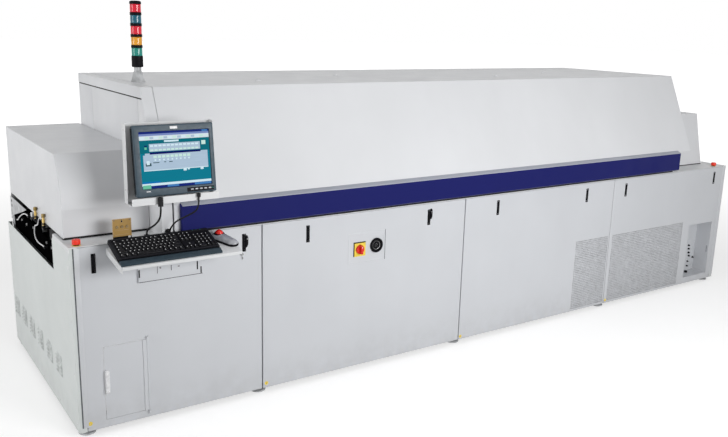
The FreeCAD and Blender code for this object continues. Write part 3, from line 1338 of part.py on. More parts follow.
def trackball_body():
    """Teardrop body with rounded top edges and a socket for the ball."""
    (x, y), (nose_x, nose_y) = trackball_places()
    lean = math.asin((TRACK_R - TRACK_NOSE_R) / TRACK_L)
    side = Vector(math.cos(lean), -math.sin(lean), 0)
    other = Vector(-side.x, side.y, 0)
    middle = Vector(x, y, 0)
    nose = Vector(nose_x, nose_y, 0)
    edges = [
        Part.Arc(middle + side * TRACK_R, middle + Y_DIR * TRACK_R, middle + other * TRACK_R),
        Part.LineSegment(middle + other * TRACK_R, nose + other * TRACK_NOSE_R),
        Part.Arc(nose + other * TRACK_NOSE_R, nose - Y_DIR * TRACK_NOSE_R, nose + side * TRACK_NOSE_R),
        Part.LineSegment(nose + side * TRACK_NOSE_R, middle + side * TRACK_R),
    ]
    body = Part.Face(Part.Wire([edge.toShape() for edge in edges])).extrude(Vector(0, 0, TRACK_H))
    rim = [edge for edge in body.Edges if edge.BoundBox.ZMin > TRACK_H - SHEET]
    body = body.makeFillet(TRACK_ROUND, rim)
    body.rotate(middle, Z_DIR, TRACK_TURN)
    socket = Part.makeSphere(BALL_R + CLEAR, Vector(x, y, BALL_RISE))
    return tilted(body.cut(socket))


def trackball_ball():
    """Ball resting in the trackball's socket."""
    (x, y), nose = trackball_places()
    return tilted(Part.makeSphere(BALL_R, Vector(x, y, BALL_RISE)))


def jack_plate():
    """Thin plate with a hole, standing on a foot on the deck."""
    right = JACK_LEFT + JACK_W
    plate = box(JACK_LEFT, right, JACK_Y, JACK_Y + JACK_T, DECK_TOP, DECK_TOP + JACK_H)
    foot = box(JACK_LEFT, right, JACK_Y, JACK_Y + JACK_FOOT, DECK_TOP, DECK_TOP + JACK_T)
    hole = rod((JACK_LEFT + JACK_W / 2, 0, DECK_TOP + JACK_H - 3 * JACK_HOLE_R), Y_DIR, JACK_HOLE_R,
               DEPTH)
    return fused(plate, foot).cut(hole)


TOWER_X = HOOD_LEFT + TOWER_X_IN
TOWER_STACK = HOOD_TOP + TOWER_FOOT_H + TOWER_POLE_H + TOWER_BASE_H


def tower_post():
    """Foot, pole, base, rings and cap of the light tower."""
    foot = Part.makeCone(TOWER_FOOT_R, TOWER_FOOT_TOP_R, TOWER_FOOT_H, Vector(TOWER_X, TOWER_Y, HOOD_TOP))
    top = HOOD_TOP + TOWER_FOOT_H
    pole = rod((TOWER_X, TOWER_Y, top), Z_DIR, TOWER_POLE_R, TOWER_POLE_H)
    base = rod((TOWER_X, TOWER_Y, top + TOWER_POLE_H), Z_DIR, TOWER_BASE_R, TOWER_BASE_H)
    shapes = [fused(foot, pole), base]
    for level in range(1, TOWER_LENSES + 1):
        z = TOWER_STACK + level * TOWER_LENS_H + (level - 1) * TOWER_RING_H
        height = TOWER_CAP_H if level == TOWER_LENSES else TOWER_RING_H
        shapes.append(rod((TOWER_X, TOWER_Y, z), Z_DIR, TOWER_BASE_R, height))
    return group(shapes)


def tower_lenses():
    """Lenses of the light tower, between its rings."""
    pitch = TOWER_LENS_H + TOWER_RING_H
    return group(rod((TOWER_X, TOWER_Y, TOWER_STACK + level * pitch), Z_DIR, TOWER_LENS_R, TOWER_LENS_H)
                 for level in range(TOWER_LENSES))


save("base_frame", base_frame())
save("leveling_feet", leveling_feet())
save("end_panels", group([end_panel(-1), end_panel(1)]))
save("rear_panels", rear_panels())
save("deck", deck())
save("deck_gaskets", deck_gaskets())
save("hood_end_frame", hood_end_frame())
save("hinge_brackets", hinge_brackets())
save("lower_zone_modules", lower_zone_modules())
save("lower_blower_motors", lower_blower_motors())
save("conveyor_supports", conveyor_supports())
save("fixed_rail", rail(FIXED_RAIL_Y))
save("fixed_chain", chain(FIXED_RAIL_Y + RAIL_W))
save("adjustable_rail", adjustable_rail())
save("adjustable_chain", chain(SLIDE_RAIL_Y - CHAIN_W))
save("drive_shaft", drive_shaft())
save("drive_gearmotor", drive_gearmotor())
save("fixed_rail_oiler", rail_oiler(FIXED_RAIL_Y, 1))
save("adjustable_rail_oiler", rail_oiler(SLIDE_RAIL_Y, -1))
save("control_cabinet", control_cabinet())
save("exhaust_spigots", exhaust_spigots())
save("utility_niche", utility_niche())
save("lift_actuators", lift_actuators())
save("lift_rods", lift_rods())
save("hood_shell", hood_shell())
save("hood_bumper", hood_bumper())
save("hood_liner", hood_liner())
save("upper_zone_modules", upper_zone_modules())
save("upper_blower_motors", upper_blower_motors())
save("tower_post", tower_post())
save("tower_lenses", tower_lenses())
save("load_cover", end_cover(LOAD_COVER_X, -1))
save("exit_cover", end_cover(EXIT_COVER_X, 1))
save("estop_bases", estop_bases())
save("estop_button_left", estop_button(stop_places()[0]))
save("estop_button_right", estop_button(stop_places()[1]))
save("front_panel_1", front_panel_1())
save("front_panel_2", front_panel_2())
save("front_panel_3", pan(3))
save("front_panel_4", front_panel_4())
for panel in (1, 2, 3, 4):
    save("panel_latches_" + str(panel), latch_levers(panel))
save("access_door", access_door())
save("switch_escutcheon", switch_escutcheon())
save("switch_knob", switch_knob())
save("power_socket", power_socket())
save("keyboard_tray", keyboard_tray())
save("keyboard_case", keyboard_case())
save("keyboard_keys", keyboard_keys())
save("trackball_body", trackball_body())
save("trackball_ball", trackball_ball())
save("monitor_cradle", monitor_cradle())
save("monitor_case", monitor_case())
save("monitor_screen", monitor_screen())
save("cable_glands", cable_glands())
save("monitor_cord_1", cord("monitor_cord_1", CORD_1, CORD_1_D))
save("monitor_cord_2", cord("monitor_cord_2", CORD_2, CORD_2_D))
save("jack_plate", jack_plate())

pivot("panels", 0, PIVOT_Y, PIVOT_Z)
pivot("levers", 0, LEVER_AXIS_IN, LEVER_AXIS_Z)
pivot("door", DOOR_AXIS_X, DOOR_AXIS_Y, DOOR_BOTTOM)
pivot("switch", SWITCH_X, 0, SWITCH_HEIGHT)
pivot("hood", 0, HOOD_AXIS_Y, HOOD_AXIS_Z)
pivot("covers", 0, COVER_AXIS_Y, COVER_AXIS_Z)
pivot("shaft", SHAFT_X, 0, RAIL_MID)
ball = trackball_ball().CenterOfMass
pivot("ball", ball.x, ball.y, ball.z)
pivot("foot", foot_places()[0][0], foot_places()[0][1], 0)
pivot("spigot", LEFT + SPIGOT_INSET, DEPTH, SPIGOT_Z)
travel = 2 * LIFT_ARM * math.tan(LIFT_LEAN)
print("lift", round(travel, 2), "per radian", round(travel / math.radians(HOOD_SWING), 3))
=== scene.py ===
import math

import bmesh
import bpy
from bpy.props import FloatProperty, FloatVectorProperty, IntProperty, PointerProperty
from mathutils import Matrix, Vector


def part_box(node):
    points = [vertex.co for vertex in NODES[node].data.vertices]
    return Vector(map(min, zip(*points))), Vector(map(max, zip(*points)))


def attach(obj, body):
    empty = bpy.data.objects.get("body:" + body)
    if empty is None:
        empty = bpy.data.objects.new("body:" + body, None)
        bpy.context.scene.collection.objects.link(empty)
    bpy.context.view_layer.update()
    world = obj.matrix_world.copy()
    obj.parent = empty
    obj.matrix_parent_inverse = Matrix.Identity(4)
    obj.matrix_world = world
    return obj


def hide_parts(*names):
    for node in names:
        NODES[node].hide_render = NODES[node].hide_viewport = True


bl_info = {
    "name": "Reflow oven fittings and finishes",
    "version": (1, 0, 0),
    "blender": (4, 5, 0),
    "location": "3D View > Sidebar > Oven",
    "description": "Dresses the packed solids of an in-line reflow oven",
    "category": "Object",
}

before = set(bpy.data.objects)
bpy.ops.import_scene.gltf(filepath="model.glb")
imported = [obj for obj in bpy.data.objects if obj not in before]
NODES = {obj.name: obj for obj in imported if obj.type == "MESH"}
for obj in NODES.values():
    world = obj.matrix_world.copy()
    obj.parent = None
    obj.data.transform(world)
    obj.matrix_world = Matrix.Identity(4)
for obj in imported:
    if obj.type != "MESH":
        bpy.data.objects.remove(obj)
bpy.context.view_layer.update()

# Pieces are modelled in millimetres from the front panels' face: x along, y to the rear, z from the floor
MM = 0.001
FACE_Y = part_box("front_panel_2")[0].y
FROM_FACE = Matrix.Translation((0.0, FACE_Y, 0.0))
TRAY_TILT, FEET_TILT, MONITOR_TILT = (math.radians(angle) for angle in (8, 10, -6.5))
ON_TRAY = FROM_FACE @ Matrix.Translation((0.0, -4 * MM, 852 * MM)) @ Matrix.Rotation(TRAY_TILT, 4, "X")
# Ways that a turned piece can face
FORWARD, REARWARD = (0, -1, 0), (0, 1, 0)
LEFTWARD, RIGHTWARD, UPWARD = (-1, 0, 0), (1, 0, 0), (0, 0, 1)


# ---------------------------------------------------------------- sizes and colours

def tint(name, description, default):
    """A colour that a user may change."""
    return FloatVectorProperty(name=name, description=description, subtype="COLOR", size=3,
                               min=0.0, max=1.0, default=default)


def length(name, description, default):
    """A length that a user may change, in metres."""
    return FloatProperty(name=name, description=description, unit="LENGTH", min=0.0, default=default)


class OvenSizes(bpy.types.PropertyGroup):
    """Sizes of the fittings"""
    hole_pitch: length("Hole pitch", "Distance between holes in the perforated areas", 0.012)
    hole_land: length("Hole land", "Sheet left between a hole and its cell's edge", 0.0020)
    key_taper: length("Key taper", "How much narrower a keycap's top is on each side", 0.0022)
    chain_pitch: length("Chain pitch", "Distance between the pins of the edge chains", 0.0254)
    peel_depth: length("Orange peel", "Depth of the powder coat's texture", 0.0004)
    turn_steps: IntProperty(name="Turning steps", description="Sides of a turned piece", min=12, default=32)


class OvenColours(bpy.types.PropertyGroup):
    """Colours of the finishes"""
    cabinet: tint("Cabinet", "Powder coat of the front panels", (0.625, 0.64, 0.668))
    # Lighter than the cabinet's coat: partly its own tint, partly painted light on the brighter ends
    end_sheet: tint("End sheet", "Powder coat of the end and rear panels", (0.70, 0.735, 0.725))
    hood: tint("Hood", "Powder coat of the hood and covers", (0.72, 0.73, 0.75))
    deck: tint("Deck", "Powder coat of the deck", (0.74, 0.75, 0.76))
    bumper: tint("Bumper", "Blue of the bumper bar", (0.0105, 0.013, 0.115))
    ledge: tint("Ledge", "Grey of the strip above the bumper", (0.36, 0.38, 0.44))
    steel: tint("Steel", "Bare steel", (0.60, 0.60, 0.61))
    brass: tint("Brass", "Machined brass", (0.66, 0.46, 0.14))
    black: tint("Black", "Moulded black plastic", (0.008, 0.008, 0.010))
    slate: tint("Slate", "Monitor bezel and palm rest", (0.040, 0.066, 0.088))
    red: tint("Red", "Knob and ball", (0.74, 0.018, 0.010))
    stop_red: tint("Stop red", "Emergency stop heads", (0.92, 0.040, 0.018))
    yellow: tint("Yellow", "Switch plate and earth dots", (0.88, 0.66, 0.08))
    tan: tint("Tan", "Jack plate", (0.42, 0.255, 0.072))
    lens_green: tint("Green lens", "Lowest lens", (0.006, 0.30, 0.24))
    lens_amber: tint("Amber lens", "Second lens", (0.95, 0.40, 0.02))
    lens_red: tint("Red lens", "Third and top lens", (0.80, 0.006, 0.035))
    lens_blue: tint("Blue lens", "Fourth lens", (0.001, 0.13, 0.20))


# ---------------------------------------------------------------- finishes

def begin(name, metal=0.0):
    """A new material and its shader."""
    finish = bpy.data.materials.new(name + "_finish")
    finish.use_nodes = True
    shader = finish.node_tree.nodes["Principled BSDF"]
    shader.inputs["Metallic"].default_value = metal
    return finish, finish.node_tree, shader


def noise(tree, scale, detail=2.0, stretch=(1.0, 1.0, 1.0)):
    """Noise on Object coordinates, stretched along an axis where asked."""
    where = tree.nodes.new("ShaderNodeTexCoord")
    lay = tree.nodes.new("ShaderNodeMapping")
    lay.inputs["Scale"].default_value = stretch
    cloud = tree.nodes.new("ShaderNodeTexNoise")
    cloud.inputs["Scale"].default_value = scale
    cloud.inputs["Detail"].default_value = detail
    tree.links.new(where.outputs["Object"], lay.inputs["Vector"])
    tree.links.new(lay.outputs["Vector"], cloud.inputs["Vector"])
    return cloud.outputs["Fac"]


def spread(tree, value, low, high, start=0.3, stop=0.7):
    """Spread a pattern between two values."""
    node = tree.nodes.new("ShaderNodeMapRange")
    node.inputs["From Min"].default_value = start
    node.inputs["From Max"].default_value = stop
    node.inputs["To Min"].default_value = low
    node.inputs["To Max"].default_value = high
    tree.links.new(value, node.inputs["Value"])
    return node.outputs["Result"]


def shades(tree, value, *stops):
    """Colours along a pattern, each stop a place and a colour."""
    node = tree.nodes.new("ShaderNodeValToRGB")
    band = node.color_ramp
    while len(band.elements) < len(stops):
        band.elements.new(0.5)
    for element, (place, colour) in zip(band.elements, stops):
        element.position = place
        element.color = (*colour, 1.0)
    tree.links.new(value, node.inputs["Fac"])
    return node.outputs["Color"]


def blend_colours(tree, share, first, second):
    """Mix two colours, the first a socket and the second a socket or plain colour."""
    node = tree.nodes.new("ShaderNodeMix")
    node.data_type = "RGBA"
    tree.links.new(share, node.inputs[0])
    tree.links.new(first, node.inputs[6])
    if isinstance(second, bpy.types.NodeSocket):
        tree.links.new(second, node.inputs[7])
    else:
        node.inputs[7].default_value = (*second, 1.0)
    return node.outputs[2]


def times(tree, first, second):
    """Two patterns multiplied."""
    node = tree.nodes.new("ShaderNodeMath")
    node.operation = "MULTIPLY"
    tree.links.new(first, node.inputs[0])
    tree.links.new(second, node.inputs[1])
    return node.outputs["Value"]


def relief(tree, shader, value, strength, depth):
    """Bump the surface by a pattern."""
    node = tree.nodes.new("ShaderNodeBump")
    node.inputs["Strength"].default_value = strength
    node.inputs["Distance"].default_value = depth
    tree.links.new(value, node.inputs["Height"])
    tree.links.new(node.outputs["Normal"], shader.inputs["Normal"])


def edges(tree, radius):
    """How sharply the surface turns nearby, for worn and chipped edges and for painted edge highlights."""
    soft = tree.nodes.new("ShaderNodeBevel")
    soft.samples = 4
    soft.inputs["Radius"].default_value = radius
    true = tree.nodes.new("ShaderNodeNewGeometry")
    dot = tree.nodes.new("ShaderNodeVectorMath")
    dot.operation = "DOT_PRODUCT"
    tree.links.new(soft.outputs["Normal"], dot.inputs[0])
    tree.links.new(true.outputs["Normal"], dot.inputs[1])
    return spread(tree, dot.outputs["Value"], 1.0, 0.0, 0.80, 0.98)


def height(tree, low, high):
    """One at a low height above the floor, fading to nothing at a higher one."""
    where = tree.nodes.new("ShaderNodeTexCoord")
    split = tree.nodes.new("ShaderNodeSeparateXYZ")
    tree.links.new(where.outputs["Object"], split.inputs["Vector"])
    return spread(tree, split.outputs["Z"], 1.0, 0.0, low, high)


def lighter(colour, share):
    """A colour part of the way to white."""
    return tuple(c + (1.0 - c) * share for c in colour)


def darker(colour, share):
    """A colour part of the way to black."""
    return tuple(c * (1.0 - share) for c in colour)


def brighter(colour, share):
    """A colour raised by a share of itself."""
    return tuple(min(1.0, c * (1.0 + share)) for c in colour)


def powder_coat(name, colour, rough=(0.36, 0.50), dusty=True, sheen=0.35, rub_and_highlight=0.45):
    """Powder-coated sheet: faint clouds, orange peel, paler edges that are partly rubbed paint and partly a
    painted highlight, and dust near the floor.
    """
    finish, tree, shader = begin(name)
    shader.inputs["Specular IOR Level"].default_value = sheen
    tone = shades(tree, noise(tree, 1.7, 4.0), (0.30, darker(colour, 0.035)), (0.70, brighter(colour, 0.02)))
    wiped = spread(tree, noise(tree, 5.0, 3.0, (1.0, 1.0, 0.12)), 0.0, 0.05, 0.45, 0.75)
    tone = blend_colours(tree, wiped, tone, darker(colour, 0.35))
    # Paler edges: partly rubbed paint, partly a painted highlight
    tone = blend_colours(tree, times(tree, edges(tree, 0.004), spread(tree, noise(tree, 30.0), 0.15, 0.6)),
                         tone, lighter(colour, rub_and_highlight))
    if dusty:
        dust = times(tree, height(tree, 0.02, 0.22), spread(tree, noise(tree, 14.0, 5.0), 0.0, 0.20))
        tone = blend_colours(tree, dust, tone, (0.30, 0.29, 0.27))
    tree.links.new(tone, shader.inputs["Base Color"])
    tree.links.new(spread(tree, noise(tree, 11.0, 4.0), *rough), shader.inputs["Roughness"])
    relief(tree, shader, noise(tree, 700.0, 1.0), 0.10, bpy.context.scene.oven_sizes.peel_depth)
    return finish


def moulded(name, colour, rough=(0.36, 0.52), worn=0.10, coat=0.0, shine=0.5):
    """Moulded plastic: fine grain, uneven polish and paler handled edges."""
    finish, tree, shader = begin(name)
    tone = shades(tree, noise(tree, 60.0, 3.0), (0.30, darker(colour, 0.15)), (0.70, brighter(colour, 0.15)))
    tone = blend_colours(tree, edges(tree, 0.0012), tone, lighter(colour, worn))
    tree.links.new(tone, shader.inputs["Base Color"])
    tree.links.new(spread(tree, noise(tree, 90.0, 3.0), *rough), shader.inputs["Roughness"])
    shader.inputs["Coat Weight"].default_value = coat
    shader.inputs["Specular IOR Level"].default_value = shine
    relief(tree, shader, noise(tree, 1400.0, 1.0), 0.14, 0.0002)
    return finish


def brushed(name, colour, rough=(0.26, 0.42), along=(1.0, 1.0, 14.0), stain=0.10):
    """Bare metal with brush lines, uneven polish and paler edges, partly worn bright and partly a painted
    highlight.
    """
    finish, tree, shader = begin(name, 1.0)
    tone = shades(tree, noise(tree, 9.0, 4.0), (0.28, darker(colour, stain)), (0.72, lighter(colour, 0.06)))
    # Paler edges: partly worn bright, partly a painted highlight
    tone = blend_colours(tree, edges(tree, 0.0015), tone, lighter(colour, 0.4))
    lines = noise(tree, 160.0, 2.0, along)
    tree.links.new(tone, shader.inputs["Base Color"])
    tree.links.new(spread(tree, lines, *rough), shader.inputs["Roughness"])
    relief(tree, shader, lines, 0.10, 0.0002)
    return finish


def rough_coat(name, colour, rough=(0.48, 0.68), shine=0.5):
    """Enamel over a casting: coarse skin, chips down to metal tone at the edges."""
    finish, tree, shader = begin(name)
    tone = shades(tree, noise(tree, 22.0, 5.0), (0.32, darker(colour, 0.25)), (0.68, brighter(colour, 0.4)))
    shader.inputs["Specular IOR Level"].default_value = shine
    chips = times(tree, edges(tree, 0.002), spread(tree, noise(tree, 120.0, 3.0), 0.0, 1.0, 0.5, 0.6))
    tone = blend_colours(tree, chips, tone, brighter(colour, 2.5))
    tree.links.new(tone, shader.inputs["Base Color"])
    tree.links.new(spread(tree, noise(tree, 50.0, 3.0), *rough), shader.inputs["Roughness"])
    relief(tree, shader, noise(tree, 260.0, 4.0), 0.25, 0.0006)
    return finish


def rubber(name, colour):
    """Matt rubber with a dusty bloom."""
    finish, tree, shader = begin(name)
    tone = shades(tree, noise(tree, 40.0, 5.0), (0.35, colour), (0.75, brighter(colour, 0.8)))
    shader.inputs["Specular IOR Level"].default_value = 0.2
    tree.links.new(tone, shader.inputs["Base Color"])
    tree.links.new(spread(tree, noise(tree, 130.0, 2.0), 0.55, 0.78), shader.inputs["Roughness"])
    relief(tree, shader, noise(tree, 900.0, 2.0), 0.2, 0.0002)
    return finish


def lens_plastic(name, colour):
    """Coloured clear plastic with moulded flutes inside."""
    finish, tree, shader = begin(name)
    flutes = noise(tree, 420.0, 1.0, (1.0, 1.0, 0.02))
    tone = shades(tree, flutes, (0.30, darker(colour, 0.30)), (0.70, brighter(colour, 0.15)))
    tree.links.new(tone, shader.inputs["Base Color"])
    tree.links.new(spread(tree, noise(tree, 80.0, 2.0), 0.06, 0.14), shader.inputs["Roughness"])
    shader.inputs["Specular IOR Level"].default_value = 0.4
    shader.inputs["Subsurface Weight"].default_value = 0.15
    shader.inputs["Subsurface Radius"].default_value = (0.01, 0.01, 0.01)
    relief(tree, shader, flutes, 0.04, 0.0003)
    return finish


def nozzle_sheet(name, colour):
    """Heat-tinted steel with a pattern of air holes, painted nearly black as the shade seen through them."""
    finish, tree, shader = begin(name, 1.0)
    where = tree.nodes.new("ShaderNodeTexCoord")
    holes = tree.nodes.new("ShaderNodeTexVoronoi")
    holes.inputs["Scale"].default_value = 42.0
    holes.inputs["Randomness"].default_value = 0.0
    tree.links.new(where.outputs["Object"], holes.inputs["Vector"])
    # Painted shade: the holes are dark dots, not cut through
    painted_hole_shade = spread(tree, holes.outputs["Distance"], 1.0, 0.0, 0.20, 0.24)
    tone = shades(tree, noise(tree, 6.0, 4.0), (0.30, (0.42, 0.37, 0.30)), (0.70, colour))
    tree.links.new(blend_colours(tree, painted_hole_shade, tone, (0.02, 0.02, 0.02)), shader.inputs["Base Color"])
    tree.links.new(spread(tree, noise(tree, 60.0, 3.0), 0.28, 0.46), shader.inputs["Roughness"])
    relief(tree, shader, painted_hole_shade, -0.5, 0.001)
    return finish


def link_chain(name, colour):
    """Oiled chain: the gaps between the links at the chain's pitch are painted dark as painted shade."""
    finish, tree, shader = begin(name, 1.0)
    where = tree.nodes.new("ShaderNodeTexCoord")
    wave = tree.nodes.new("ShaderNodeTexWave")
    wave.inputs["Scale"].default_value = 1.0 / bpy.context.scene.oven_sizes.chain_pitch / 6.283
    tree.links.new(where.outputs["Object"], wave.inputs["Vector"])
    # Painted shade in the gaps between the links
    shade_gaps = spread(tree, wave.outputs["Fac"], 1.0, 0.0, 0.08, 0.22)
    tone = shades(tree, noise(tree, 70.0, 3.0), (0.3, darker(colour, 0.4)), (0.7, colour))
    tree.links.new(blend_colours(tree, shade_gaps, tone, (0.03, 0.028, 0.025)), shader.inputs["Base Color"])
    tree.links.new(spread(tree, noise(tree, 90.0, 2.0), 0.22, 0.45), shader.inputs["Roughness"])
    relief(tree, shader, shade_gaps, -0.6, 0.002)
    return finish


def lit_picture(name, strength):
    """A lit display that shows the colours painted on its faces."""
    finish, tree, shader = begin(name)
    paint = tree.nodes.new("ShaderNodeVertexColor")
    paint.layer_name = "paint"
    lines = spread(tree, noise(tree, 900.0, 1.0, (0.02, 1.0, 1.0)), 0.0, 0.10)
    tone = blend_colours(tree, lines, paint.outputs["Color"], (0.02, 0.03, 0.05))
    shader.inputs["Base Color"].default_value = (0.004, 0.005, 0.006, 1.0)
    shader.inputs["Specular IOR Level"].default_value = 0.0
    tree.links.new(tone, shader.inputs["Emission Color"])
    shader.inputs["Emission Strength"].default_value = strength
    tree.links.new(spread(tree, noise(tree, 25.0, 3.0), 0.16, 0.30), shader.inputs["Roughness"])
    return finish


FINISH_MAKERS = {
    "cabinet_paint": lambda n, c: powder_coat(n, c.cabinet),
    "end_paint": lambda n, c: powder_coat(n, c.end_sheet),
    "hood_paint": lambda n, c: powder_coat(n, c.hood, (0.32, 0.46), False),
    "ledge_paint": lambda n, c: powder_coat(n, c.ledge, (0.36, 0.5), False),
    "deck_paint": lambda n, c: powder_coat(n, c.deck),
    "bumper_blue": lambda n, c: powder_coat(n, c.bumper, (0.40, 0.54), False, 0.08, 0.03),
    "frame_paint": lambda n, c: powder_coat(n, darker(c.cabinet, 0.35)),
    "tan_paint": lambda n, c: powder_coat(n, c.tan, (0.42, 0.6), False),
    "stainless": lambda n, c: brushed(n, c.steel),
    "aluminium": lambda n, c: brushed(n, lighter(c.steel, 0.2), (0.30, 0.46), (14.0, 1.0, 1.0)),
    "bright_steel": lambda n, c: brushed(n, lighter(c.steel, 0.35), (0.16, 0.30)),
    "dull_steel": lambda n, c: brushed(n, darker(c.steel, 0.72), (0.40, 0.56)),
    "olive_cap": lambda n, c: brushed(n, darker(c.brass, 0.6), (0.36, 0.5), (6.0, 6.0, 1.0), 0.25),
    "brass": lambda n, c: brushed(n, c.brass, (0.18, 0.34), (6.0, 6.0, 1.0), 0.25),
    "chain_steel": lambda n, c: link_chain(n, darker(c.steel, 0.3)),
    "nozzle_steel": lambda n, c: nozzle_sheet(n, c.steel),
    "dark_steel": lambda n, c: rough_coat(n, (0.0018, 0.0018, 0.002), shine=0.0),
    "motor_enamel": lambda n, c: rough_coat(n, (0.09, 0.095, 0.105)),
    "seal_rubber": lambda n, c: rubber(n, (0.010, 0.010, 0.011)),
    "cord_rubber": lambda n, c: rubber(n, (0.008, 0.008, 0.009)),
    "filter_foam": lambda n, c: rubber(n, (0.40, 0.405, 0.42)),
    "black_plastic": lambda n, c: moulded(n, c.black, worn=0.006, shine=0.05),
    "case_black": lambda n, c: moulded(n, brighter(c.black, 0.6), (0.42, 0.6), 0.02, shine=0.06),
    "key_black": lambda n, c: moulded(n, c.black, (0.30, 0.46), 0.02, shine=0.1),
    "slate_plastic": lambda n, c: moulded(n, c.slate, (0.36, 0.5), shine=0.3),
    "rest_plastic": lambda n, c: moulded(n, darker(c.slate, 0.3), (0.36, 0.5), 0.04, shine=0.15),
    "grey_plastic": lambda n, c: moulded(n, (0.38, 0.39, 0.42), (0.18, 0.30), 0.3, 0.3),
    "white_plastic": lambda n, c: moulded(n, (0.78, 0.78, 0.79), (0.28, 0.42), 0.2),
    "red_plastic": lambda n, c: moulded(n, c.red, (0.16, 0.30), 0.1, 0.2, 0.3),
    "stop_red": lambda n, c: moulded(n, c.stop_red, (0.24, 0.38), 0.1, 0.0, 0.3),
    "yellow_plastic": lambda n, c: moulded(n, c.yellow, (0.30, 0.45), 0.2, shine=0.3),
    "lens_green": lambda n, c: lens_plastic(n, c.lens_green),
    "lens_amber": lambda n, c: lens_plastic(n, c.lens_amber),
    "lens_red": lambda n, c: lens_plastic(n, c.lens_red),
    "lens_blue": lambda n, c: lens_plastic(n, c.lens_blue),
    "screen_picture": lambda n, c: lit_picture(n, 0.95),
    # Near black: painted shade for slots, holes and louvre gaps
    "dark_inside": lambda n, c: rough_coat(n, (0.006, 0.006, 0.007), shine=0.0),
    # A darker copy of the end sheet's paint: painted shade on the louvre patches
    "louvre_paint": lambda n, c: rough_coat(n, darker(c.end_sheet, 0.25), (0.4, 0.56), 0.3),
    "zinc": lambda n, c: rough_coat(n, (0.42, 0.43, 0.44), (0.36, 0.52)),
}

# Slots that finishes of other names go by
SLOT_FINISHES = {
    "stainless": "bright_steel dull_steel zinc",
    "oiler_brass": "brass olive_cap",
    "black_plastic": "case_black dark_inside filter_foam",
    "cabinet_paint": "deck_paint end_paint louvre_paint",
    "hood_paint": "ledge_paint",
    "trackball_grey": "grey_plastic white_plastic",
    "motor_grey": "motor_enamel",
    "bezel_slate": "rest_plastic slate_plastic",
    "screen_glass": "screen_picture",
    "red_plastic": "stop_red",
    "jack_tan": "tan_paint",
    "lens_plastic": "lens_green lens_amber lens_red lens_blue",
}
SLOTS = {finish: slot for slot, finishes in SLOT_FINISHES.items() for finish in finishes.split()}
FINISHES = {}


def finish_of(name):
    """The named finish, made the first time it is asked for."""
    if name not in FINISHES:
        FINISHES[name] = FINISH_MAKERS[name](name, bpy.context.scene.oven_colours)
    return FINISHES[name]


# ---------------------------------------------------------------- shapes

def mm(*numbers):
    """A point in metres from millimetres."""
    return Vector(numbers) * MM


def soften(bm, edge_list, by, steps=2):
    """Round edges by a radius in millimetres."""
    bmesh.ops.bevel(bm, geom=list(edge_list), offset=by * MM, offset_type="OFFSET", affect="EDGES",
                    segments=steps, profile=0.5, material=-1, clamp_overlap=True)


def slab(bm, low, high, soft=0.0, steps=2):
    """A block between two corners, with its edges rounded."""
    low, high = mm(*low), mm(*high)
    verts = bmesh.ops.create_cube(bm, size=1.0)["verts"]
    bmesh.ops.scale(bm, vec=high - low, verts=verts)
    bmesh.ops.translate(bm, vec=(low + high) / 2, verts=verts)
    if soft:
        soften(bm, {edge for vert in verts for edge in vert.link_edges}, soft, steps)
    return verts


def facing(along):
    """Rotation that turns the z axis to another direction."""
    return Vector((0.0, 0.0, 1.0)).rotation_difference(Vector(along)).to_matrix().to_4x4()


def add(bm, shape, place=None):
    """Add a shape made in a bmesh of its own to a piece."""
    bmesh.ops.recalc_face_normals(shape, faces=shape.faces)
    mesh = bpy.data.meshes.new("shape")
    shape.to_mesh(mesh)
    shape.free()
    if place:
        mesh.transform(place)
    bm.from_mesh(mesh)
    bpy.data.meshes.remove(mesh)


def turned(bm, outline, place, along=UPWARD, steps=None):
    """A turned shape from (radius, height) pairs along an axis."""
    shape = bmesh.new()
    points = [shape.verts.new(mm(radius, 0.0, level)) for radius, level in outline]
    lines = [shape.edges.new(pair) for pair in zip(points, points[1:])]
    bmesh.ops.spin(shape, geom=points + lines, cent=(0, 0, 0), axis=UPWARD, angle=2 * math.pi,
                   steps=steps or bpy.context.scene.oven_sizes.turn_steps, use_merge=True)
    bmesh.ops.remove_doubles(shape, verts=shape.verts, dist=1e-6)
    add(bm, shape, Matrix.Translation(mm(*place)) @ facing(along))


def prism(bm, outline, reach, soft=0.0):
    """A prism from a flat outline of points and the way it is drawn out."""
    shape = bmesh.new()
    face = shape.faces.new([shape.verts.new(mm(*point)) for point in outline])
    made = bmesh.ops.extrude_face_region(shape, geom=[face])["geom"]
    bmesh.ops.translate(shape, vec=mm(*reach), verts=[v for v in made if isinstance(v, bmesh.types.BMVert)])
    bmesh.ops.recalc_face_normals(shape, faces=shape.faces)
    if soft:
        soften(shape, shape.edges, soft)
    add(bm, shape)


def bar(bm, outline, low_x, high_x, soft=0.0):
    """A bar along x from its (y, z) outline."""
    prism(bm, [(low_x, y, z) for y, z in outline], (high_x - low_x, 0, 0), soft)


def span(node):
    """The corners of a node's box in millimetres from the front panels' face."""
    low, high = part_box(node)
    shift = Vector((0.0, FACE_Y, 0.0))
    return (low - shift) / MM, (high - shift) / MM


def ring_plate(bm, low, high, border, soft=0.0):
    """A flat frame standing in the xz plane, with an open middle."""
    verts = slab(bm, low, high)
    sides = {face for vert in verts for face in vert.link_faces if abs(face.normal.y) > 0.9}
    bmesh.ops.inset_individual(bm, faces=list(sides), thickness=border * MM, use_even_offset=True)
    rims = {edge for face in sides for edge in face.edges}
    bmesh.ops.delete(bm, geom=list(sides), context="FACES_ONLY")
    bmesh.ops.bridge_loops(bm, edges=list(rims))
    if soft:
        front = min(vert.co.y for vert in verts)
        lips = [e for e in bm.edges if e.is_manifold and all(abs(v.co.y - front) < 1e-6 for v in e.verts)
                and abs(e.calc_face_angle(0.0)) > 0.5]
        soften(bm, lips, soft, 2)


